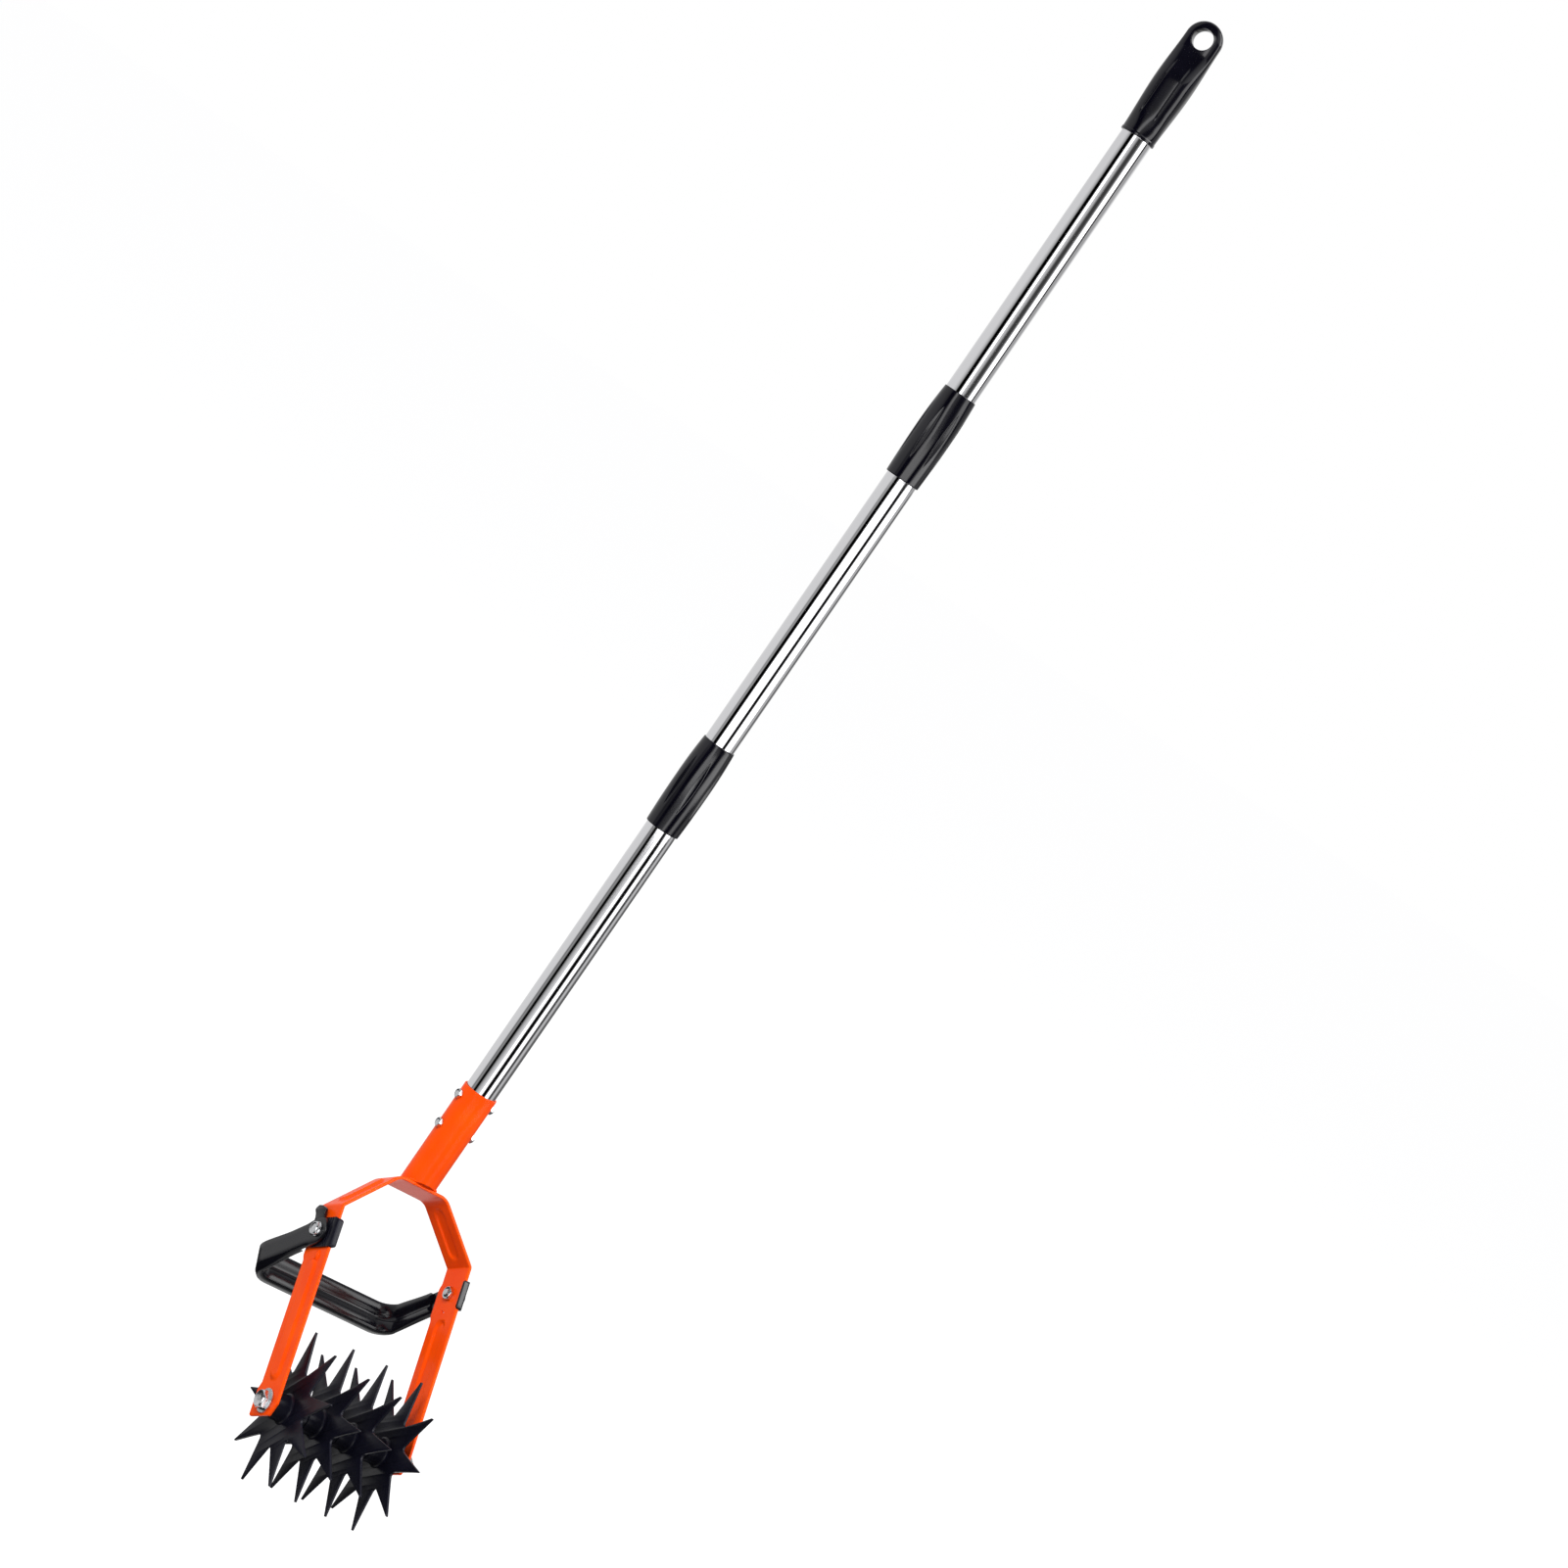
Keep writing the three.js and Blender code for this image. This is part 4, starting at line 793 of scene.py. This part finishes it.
BRACKET_INSIDE = 62.3
BRACKET_OUTSIDE = 64
BRACKET_LIP_END = 57.4
BRACKET_FRONT = -17.5
BRACKET_REAR = 10
BRACKET_LOW = -12.6
BRACKET_HIGH = 10.6
BRACKET_BEND = 3
BRACKET_LIP_HALF = 1.1
BRACKET_GROOVES = (-11.9, -9.1)
BRACKET_GROOVE_DEPTH = 0.5
TOOL_LENGTH = 40


def bracket_profile():
    lip, front = BRACKET_LIP_HALF, BRACKET_FRONT
    profile = [(BRACKET_INSIDE, BRACKET_REAR), (BRACKET_INSIDE, front + 2 * lip),
               (BRACKET_LIP_END + lip, front + 2 * lip)]
    profile += arc(BRACKET_LIP_END + lip, front + lip, lip, math.pi / 2, 3 * math.pi / 2, 8)[1:-1]
    profile += [(BRACKET_LIP_END + lip, front)]
    profile += arc(BRACKET_OUTSIDE - BRACKET_BEND, front + BRACKET_BEND, BRACKET_BEND, -math.pi / 2, 0, 8)
    floor = BRACKET_OUTSIDE - BRACKET_GROOVE_DEPTH
    for middle in BRACKET_GROOVES:
        profile += [(BRACKET_OUTSIDE, middle - 0.8), (floor, middle - 0.35), (floor, middle + 0.35),
                    (BRACKET_OUTSIDE, middle + 0.8)]
    return profile + [(BRACKET_OUTSIDE, BRACKET_REAR)]


def make_brackets():
    low, high = BRACKET_LOW, BRACKET_HIGH
    body = loft([[(x, y, z) for x, y in bracket_profile()] for z in (low, high)])
    seen_from_side = plate(rounded(BRACKET_FRONT, BRACKET_REAR, low, high, 3), TOOL_LENGTH)
    seen_from_front = plate(rounded(BRACKET_LIP_END, BRACKET_OUTSIDE + 3.4, low, high, 3.3), 2 * TOOL_LENGTH)
    swapped = Matrix(((0, 1, 0, 0), (1, 0, 0, 0), (0, 0, 1, 0), (0, 0, 0, 1)))
    for name, place, coat in (("left", PIVOT @ MIRROR, BLACK_COAT), ("right", PIVOT, LIP_COAT)):
        piece = solid(f"pedal_bracket_{name}_sheet", body, place)
        side_tool = solid("tool", moved(seen_from_side, Matrix.Translation((TOOL_LENGTH, 0, 0))), place)
        front_tool = moved(seen_from_front, swapped @ Matrix.Translation((-TOOL_LENGTH, 0, 0)))
        carved(piece, side_tool, solid("tool", front_tool, place), operation="INTERSECT")
        bevelled(piece, 0.35, 3, 40)
        finished(piece, coat, "frame", "black_paint", f"pedal_bracket_{name}", crease=34)


# Foot bar: X across, Y along the straps from the pivot towards the crossbar

STRAP_INSIDE = 64.3
STRAP_HALF = 10.5
ARM_HALF = 9.9
CROSS_HALF = 12.2
BAR_HALF_THICKNESS = 3.2
BAR_WIDER = 3.6
BAR_REACH = 84
BAR_CORNER = 15
STRAP_SHARES = (-0.999, -0.985, -0.95, -0.9, -0.82, -0.72, -0.6, -0.45, -0.3, -0.15, 0)
BAR_ROOM = [(-21, -28), (20.4, -28), (20.4, -10.5), (28.6, -4), (28.6, 28), (-21, 28)]
BAR_ROOM_WIDTH = 6.6
HORN = [(9, 5), (9, 10), (10, 13), (12.2, 16.2), (12.5, 17), (11.6, 18.4), (9.4, 19.8), (7, 20), (4, 19.6),
        (1.4, 18.6), (-0.8, 17.4), (-1.5, 16.6), (-1.2, 14), (-2, 11.5), (-3, 10), (-3, 5)]
HORN_THICKNESS = 2.75


# Outline of one half: share of the half height and depth below the outer, then the inner face
def bar_half_section(start, depth):
    outer = [(0, 0), (start / 2, 0), (start - 0.02, 0), (start, 0.05), (start + 0.02, 0.2),
             (0.95, depth - 0.35), (0.98, depth), (1, depth + 0.6)]
    inner = [(1, 1.9), (0.99, 1.4), (0.96, 0.85), (0.91, 0.42), (0.84, 0.14), (0.74, 0), (0.62, 0),
             (0.5, 0.12), (0.4, 0.34), (0.3, 0.8), (0.22, 1.45), (0.15, 2.1), (0.07, 2.35), (0, 2.4)]
    return outer, inner


def bar_ring(x, y, nx, ny, share, side):
    narrowing, widening, bevel = smooth(y, 4, 18), smooth(y, 30, BAR_REACH - 10), smooth(y, 6, 16)
    strap_half = STRAP_HALF * math.sqrt(max(1 - share * share, 0))
    arm_half = strap_half + (ARM_HALF - strap_half) * narrowing
    half_height = arm_half + (CROSS_HALF - arm_half) * widening
    outer, inner = BAR_HALF_THICKNESS, BAR_HALF_THICKNESS + BAR_WIDER * ny
    sloped = widening * (1 - ny)
    start, depth = 0.93 - 0.1 * bevel, 0.6 + 1.2 * bevel
    above = bar_half_section(start, depth)
    below = bar_half_section(start - 0.3 * sloped, depth + 1.3 * sloped - 0.9 * ny)
    ring = []
    for sign, (outside, inside) in ((1, above), (-1, below)):
        half = [(h * sign, outer - d) for h, d in outside] + [(h * sign, -inner + d) for h, d in inside]
        ring += half if sign > 0 else half[-2:0:-1]
    return [(side * (x + nx * d), y + ny * d, h * half_height + 0.6 * narrowing) for h, d in ring]


def bar_path():
    middle, corner = BAR_OUTSIDE - BAR_HALF_THICKNESS, BAR_CORNER
    path = [(middle, share * STRAP_HALF, 1, 0, share) for share in STRAP_SHARES]
    path += [(middle, (BAR_REACH - corner) * k / 24, 1, 0, 0) for k in range(1, 25)]
    for angle in (math.pi / 2 * i / 16 for i in range(1, 17)):
        nx, ny = math.cos(angle), math.sin(angle)
        path.append((middle - corner + corner * nx, BAR_REACH - corner + corner * ny, nx, ny, 0))
    return path


def make_bar():
    path = bar_path()
    rings = [bar_ring(*stop, 1) for stop in path] + [bar_ring(*stop, -1) for stop in reversed(path)]
    bar = solid("foot_bar_body", loft(rings), BAR)
    rooms = []
    for start in (STRAP_INSIDE - BAR_ROOM_WIDTH, -STRAP_INSIDE):
        rooms.append(solid("room", plate(BAR_ROOM, BAR_ROOM_WIDTH), BAR @ Matrix.Translation((start, 0, 0))))
    carved(bar, *rooms)
    finished(bar, BAR_PLASTIC, "foot_bar", "foot_bar_plastic", "foot_bar", crease=40)
    horn = moved(plate(HORN, HORN_THICKNESS), Matrix.Rotation(-BAR_ANGLE, 4, "X"))
    piece = solid("foot_bar_horn", horn, BAR @ Matrix.Translation((-BAR_OUTSIDE + 0.02, 0, 0)))
    bevelled(piece, 0.5, 3, 30)
    finished(piece, BAR_PLASTIC, "foot_bar", "foot_bar_plastic", crease=34)


# Pivot and axle fasteners, each a hair off the face it rests on

REST_GAP = 0.04
PIVOT_WASHER = 5.8
PIVOT_SHANK = (-0.1, 8.6)
PIVOT_THREAD = (8.4, 11.8)
PIVOT_RING = (3.75, 3.05, 0.9)
PIVOT_RING_SEAT = 2.4
AXLE_SEAT = ARM_OUTSIDE + REST_GAP
AXLE_WASHER = (9.5, 4.2, 1.6)
WASHER_TOP = AXLE_SEAT + 1.65
AXLE_SHANK = (-WASHER_TOP - 0.05, 71)
AXLE_THREAD = (69, 73.3)
AXLE_SLEEVE_START = -59.2
AXLE_SLEEVE = [(4.3, 0), (5.8, 0), (6, 0.2), (6, 118.2), (5.8, 118.4), (4.3, 118.4)]


def make_pivots():
    for name, side in (("left", -1), ("right", 1)):
        turn = Matrix.Identity(4) if side < 0 else HALF_TURN
        seat = PIVOT @ Matrix.Translation((side * (BAR_OUTSIDE + REST_GAP), 0, 0)) @ turn
        shape = bolt_shape(M6, 0, PIVOT_SHANK, PIVOT_THREAD, PIVOT_WASHER)
        bolt = solid(f"pivot_bolt_{name}_zinc", shape, seat)
        finished(bolt, ZINC, "frame", "zinc_steel", f"pivot_bolt_{name}")
        nut_place = PIVOT @ Matrix.Translation((side * (ARM_INSIDE - REST_GAP), 0, 0)) @ turn
        nut = solid(f"pivot_nut_{name}_zinc", hex_nut(M6), nut_place)
        finished(nut, ZINC, "frame", "zinc_steel", f"pivot_nut_{name}")
        ring = moved(washer_shape(*PIVOT_RING), Matrix.Translation((PIVOT_RING_SEAT, 0, 0)))
        finished(solid(f"pivot_ring_{name}", ring, nut_place), NYLON, "frame", "zinc_steel")


def make_axle():
    for name, side in (("left", -1), ("right", 1)):
        turn = HALF_TURN if side < 0 else Matrix.Identity(4)
        place = AXLE @ Matrix.Translation((side * AXLE_SEAT, 0, 0)) @ turn
        washer = solid(f"axle_washer_{name}_zinc", washer_shape(*AXLE_WASHER), place)
        finished(washer, ZINC, "frame", "zinc_steel", f"axle_washer_{name}")
    bolt = bolt_shape(M8, -WASHER_TOP, AXLE_SHANK, AXLE_THREAD)
    finished(solid("axle_bolt_zinc", bolt, AXLE), ZINC, "frame", "zinc_steel", "axle_bolt")
    nut = moved(hex_nut(M8), Matrix.Translation((WASHER_TOP, 0, 0)))
    finished(solid("axle_nut_zinc", nut, AXLE), ZINC, "frame", "zinc_steel", "axle_nut")
    sleeve = moved(revolved(AXLE_SLEEVE, 72), Matrix.Translation((AXLE_SLEEVE_START, 0, 0)) @ ALONG_X)
    finished(solid("axle_sleeve_steel", sleeve, AXLE), ZINC, "frame", "zinc_steel", "axle_sleeve")


# Star wheels

WHEEL_PITCH = 29.65
WHEEL_TURNS = (-22.4, -14.4, -11.6, -5.5)
WHEEL_THICKNESS = 2
TEETH = 9
TOOTH_TIP = (60, 0.45)
TOOTH_WAIST = (41, 4.8)
VALLEY_RADIUS = 30
VALLEY_FLOOR = 28.9
VALLEY_HALF = 2.2 / 30
HUB_RADIUS = 10.5
HUB_HALF = 14.62
HUB_FILLET = (1.7, 2.2)


def wheel_outline():
    half = math.pi / TEETH
    start = half - VALLEY_HALF
    valley = (VALLEY_RADIUS * math.cos(start), VALLEY_RADIUS * math.sin(start))
    flank = []
    for t in (i / 12 for i in range(13)):
        flank.append(tuple((1 - t) ** 2 * tip + 2 * t * (1 - t) * waist + t ** 2 * foot
                           for tip, waist, foot in zip(TOOTH_TIP, TOOTH_WAIST, valley)))
    tooth = [(y, -z) for y, z in reversed(flank)] + flank
    for share in (0.35, 0.7, 1, 1.3, 1.65):
        angle = start + VALLEY_HALF * share
        dip = VALLEY_RADIUS - (VALLEY_RADIUS - VALLEY_FLOOR) * math.sin(math.pi / 2 * min(share, 2 - share))
        tooth.append((dip * math.cos(angle), dip * math.sin(angle)))
    points = []
    for turn in (2 * math.pi * i / TEETH for i in range(TEETH)):
        c, s = math.cos(turn), math.sin(turn)
        points += [(y * c - z * s, y * s + z * c) for y, z in tooth]
    return points


def hub_profile():
    out, along = HUB_FILLET
    hub = [(6.3, -HUB_HALF), (HUB_RADIUS - 0.4, -HUB_HALF), (HUB_RADIUS, -HUB_HALF + 0.4), (HUB_RADIUS, -3.2)]
    for turn in (math.pi / 2 * k / 5 for k in range(1, 6)):
        hub.append((HUB_RADIUS + out * (1 - math.cos(turn)), -3.2 + along * math.sin(turn)))
    return hub + [(r, -z) for r, z in reversed(hub)]


def make_wheels():
    bore = arc(0, 0, HUB_RADIUS, 0, 2 * math.pi, 72)[:-1]
    star = plate(wheel_outline(), WHEEL_THICKNESS, [bore])
    star = moved(star, Matrix.Translation((-WHEEL_THICKNESS / 2, 0, 0)))
    hub = moved(revolved(hub_profile()), ALONG_X)
    for i, degrees in enumerate(WHEEL_TURNS, 1):
        place = AXLE @ Matrix.Translation(((i - 2.5) * WHEEL_PITCH, 0, 0))
        disc = solid(f"star_wheel_{i}_plate", star, place @ Matrix.Rotation(math.radians(degrees), 4, "X"))
        bevelled(disc, 0.28, 2, 40)
        finished(disc, BLACK_COAT, f"wheel_{i}", "black_paint", f"star_wheel_{i}", crease=36)
        tube = solid(f"hub_tube_{i}_skin", hub, place)
        finished(tube, BLACK_COAT, f"wheel_{i}", "black_paint", f"hub_tube_{i}", crease=36)


# The hidden cores stay the solids' own, in the plastic of the connectors

def dress_cores():
    for name in ("lower_core", "upper_core"):
        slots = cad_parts[name].data.materials
        if slots:
            slots[0] = BLACK_PLASTIC
        else:
            slots.append(BLACK_PLASTIC)


# Stage, in metres: cards, floor, world, light and camera

SHELL_RADIUS = 6
SHELL_SIDES = 720

# Upright cards round the tool, seen in gloss only. Each tier has its low and high edge, the heights between
# which it slants, its slant in turns per metre and its stops, heading in degrees and brightness
# The stops of the upper, middle and lower tiers began as readings of how bright the tubes are from edge to edge
# in the photograph. They were then adjusted against renders and rounded
CARDS = [
    ("top", 2.4, 14, (2.4, 2.4), 0,
     [(59, 0.8), (150, 0.8), (185, 0.5), (195, 0.03), (226, 0.03), (245, 0.6), (285, 1.2), (300, 4.4),
      (340, 4.4), (347, 0.7), (358, 0.25), (400, 0.4)]),
    ("upper", -0.47, 2.4, (-0.33, 0.47), -0.05,
     [(59, 0.8), (110, 0.7), (166, 0.7), (176, 0.6), (188, 0.4), (192, 0.25), (196, 0), (216, 0), (221, 0.7),
      (225, 3), (234, 3), (238, 0.6), (250, 0.5), (256, 0.3), (264, 0.05), (281, 0.05), (288, 0.15),
      (295, 0.6), (301, 2.7), (323, 2.7), (327, 0.05), (337, 0), (342, 0.4), (368, 0.4), (384, 0.7),
      (404, 0.9)]),
    ("middle", -1.41, -0.47, (-1.41, -0.29), 0.026,
     [(59, 0.8), (110, 0.7), (168, 0.7), (175, 0.6), (180, 0.25), (189, 0.35), (193, 0.3), (197, 0), (215, 0),
      (220, 0.6), (224, 3), (260, 3), (266, 2), (271, 0.2), (274, 0), (286, 0), (290, 0.3), (296, 2),
      (301, 3.6), (327, 3.6), (334, 1.2), (342, 0.4), (350, 0.5), (358, 0.5), (367, 0.15), (382, 0.15),
      (392, 0.3), (402, 0.6)]),
    ("bottom", -14, -3.1, (-3.1, -3.1), 0,
     [(20, 0.05), (34, 1.15), (50, 1.15), (70, 0.2), (95, 0.05), (110, 0.02), (215, 0.02), (235, 0.2),
      (330, 0.2), (350, 0.05)]),
    ("lower", -3.1, -1.41, (-2.2, -1.3), 0.042,
     [(59, 0.8), (110, 0.7), (160, 0.7), (166, 0.6), (172, 0.2), (178, 0.2), (183, 0.3), (188, 0.25),
      (192, 0.1), (195, 0), (207, 0), (216, 0.35), (226, 0.5), (243, 0.8), (249, 2.6), (257, 2.6), (261, 0.8),
      (265, 0.1), (269, 0), (283, 0), (288, 0.3), (294, 2.5), (307, 2.5), (314, 0.6), (320, 0.05),
      (330, 0.05), (338, 0.5), (350, 0.6), (361, 0.3), (370, 0.1), (384, 0.15)]),
]


def linked(tree, kind, *sources, **settings):
    made = node(tree, kind, **settings)
    for place, source in enumerate(sources):
        tree.links.new(source, made.inputs[place])
    return made.outputs[0] if made.outputs else None


def bare_tree(owner):
    owner.use_nodes = True
    owner.node_tree.nodes.clear()
    return owner.node_tree


def cards_material(name, span, slant, bands):
    made = bpy.data.materials.new(name)
    tree = bare_tree(made)
    made.cycles.emission_sampling = "NONE"
    first = bands[0][0] / 360
    place = node(tree, "ShaderNodeTexCoord")
    parts = node(tree, "ShaderNodeSeparateXYZ")
    tree.links.new(place.outputs["Object"], parts.inputs[0])
    heading = linked(tree, "ShaderNodeMath", parts.outputs["Y"], parts.outputs["X"], operation="ARCTAN2")
    turns = node(tree, "ShaderNodeMath", operation="MULTIPLY_ADD")
    turns.inputs[1].default_value = 1 / (2 * math.pi)
    turns.inputs[2].default_value = 1 - first + slant * (span[0] + span[1]) / 2
    tree.links.new(heading, turns.inputs[0])
    level = linked(tree, "ShaderNodeClamp", parts.outputs["Z"], Min=span[0], Max=span[1])
    slanted = node(tree, "ShaderNodeMath", operation="MULTIPLY_ADD")
    slanted.inputs[1].default_value = -slant
    tree.links.new(level, slanted.inputs[0])
    tree.links.new(turns.outputs[0], slanted.inputs[2])
    wrapped = linked(tree, "ShaderNodeMath", slanted.outputs[0], operation="FRACT")
    ramp = node(tree, "ShaderNodeValToRGB")
    stops = ramp.color_ramp.elements
    while len(stops) > 1:
        stops.remove(stops[-1])
    for i, (degrees, value) in enumerate(bands):
        share = degrees / 360 - first
        stop = stops.new(share) if i else stops[0]
        stop.position = share
        stop.color = (value, value, value, 1)
    tree.links.new(wrapped, ramp.inputs["Fac"])
    glow = linked(tree, "ShaderNodeEmission", ramp.outputs["Color"])
    linked(tree, "ShaderNodeOutputMaterial", glow)
    return made


def staged(name, shape, surface):
    mesh = bpy.data.meshes.new(name)
    mesh.from_pydata(shape[0], [], shape[1])
    mesh.materials.append(surface)
    made = bpy.data.objects.new(name, mesh)
    bpy.context.scene.collection.objects.link(made)
    return made


def make_cards():
    for tier, low, high, span, slant, bands in CARDS:
        edges = [circle(SHELL_RADIUS, height, SHELL_SIDES) for height in (low, high)]
        surface = cards_material(f"cards_{tier}", span, slant, bands)
        shell = staged(f"cards_{tier}", loft(edges, caps=False), surface)
        shell.visible_camera = False
        shell.visible_diffuse = False
        shell.visible_shadow = False
        shell.visible_transmission = False


FLOOR_DROP = 0.25
FLOOR_HALF = 30
FLOOR_GREY = (0.35, 0.35, 0.35, 1)
FLOOR_GLOW = 0.8


def make_floor():
    made = bpy.data.materials.new("floor")
    tree = bare_tree(made)
    plain = linked(tree, "ShaderNodeBsdfDiffuse", Color=FLOOR_GREY)
    glow = linked(tree, "ShaderNodeEmission", Strength=FLOOR_GLOW)
    bright = linked(tree, "ShaderNodeAddShader", plain, glow)
    path = node(tree, "ShaderNodeLightPath")
    seen = linked(tree, "ShaderNodeMixShader", path.outputs["Is Camera Ray"], plain, bright)
    linked(tree, "ShaderNodeOutputMaterial", seen)
    low, half = cad_box[0].z - FLOOR_DROP, FLOOR_HALF
    corners = [(-half, -half, low), (half, -half, low), (half, half, low), (-half, half, low)]
    floor = staged("floor", (corners, [(0, 1, 2, 3)]), made)
    floor.visible_glossy = False


ROOM_LIGHT = (0.55, 0.55, 0.56, 1)
BACKDROP = (1, 1, 1, 1)


def make_world():
    world = bpy.data.worlds.new("studio")
    bpy.context.scene.world = world
    tree = bare_tree(world)
    path = node(tree, "ShaderNodeLightPath")
    seen = node(tree, "ShaderNodeMix", data_type="RGBA")
    tree.links.new(path.outputs["Is Camera Ray"], seen.inputs[0])
    seen.inputs[6].default_value = ROOM_LIGHT
    seen.inputs[7].default_value = BACKDROP
    back = linked(tree, "ShaderNodeBackground", seen.outputs[2])
    linked(tree, "ShaderNodeOutputWorld", back)


# Each lamp: place, target, size and power
LAMPS = {"key": ((-2.2, -1.6, 1.2), (0, 0, -0.8), (1.2, 2.0), 100),
         "fill": ((1.6, -1.35, 1.1), (0, 0, -1), (1.4, 1.4), 60)}


def make_lamps():
    for name, (place, target, size, power) in LAMPS.items():
        light = bpy.data.lights.new(name, "AREA")
        light.shape = "RECTANGLE"
        light.size, light.size_y = size
        light.energy = power
        made = bpy.data.objects.new(name, light)
        bpy.context.scene.collection.objects.link(made)
        made.location = place
        made.rotation_euler = (Vector(target) - Vector(place)).to_track_quat("-Z", "Y").to_euler()
        made.visible_glossy = False


CAMERA_ROWS = ((0.726190, -0.442923, -0.525802), (-0.390699, 0.363426, -0.845740),
               (0.565688, 0.819598, 0.090867))
CAMERA_PLACE = (-1.51524, -2.54295, -0.35052)
CAMERA_LENS = 92.05


def make_camera():
    camera = bpy.data.objects.new("camera", bpy.data.cameras.new("camera"))
    bpy.context.scene.collection.objects.link(camera)
    camera.data.lens = CAMERA_LENS
    camera.data.sensor_width = 36
    camera.matrix_world = Matrix.Translation(CAMERA_PLACE) @ Matrix(CAMERA_ROWS).to_4x4()
    bpy.context.scene.camera = camera
    bpy.context.scene.view_settings.view_transform = "Standard"


make_tubes()
make_connectors()
make_grip()
make_socket()
make_yoke()
make_brackets()
make_bar()
make_pivots()
make_axle()
make_wheels()
dress_cores()
make_floor()
make_cards()
make_world()
make_lamps()
make_camera()
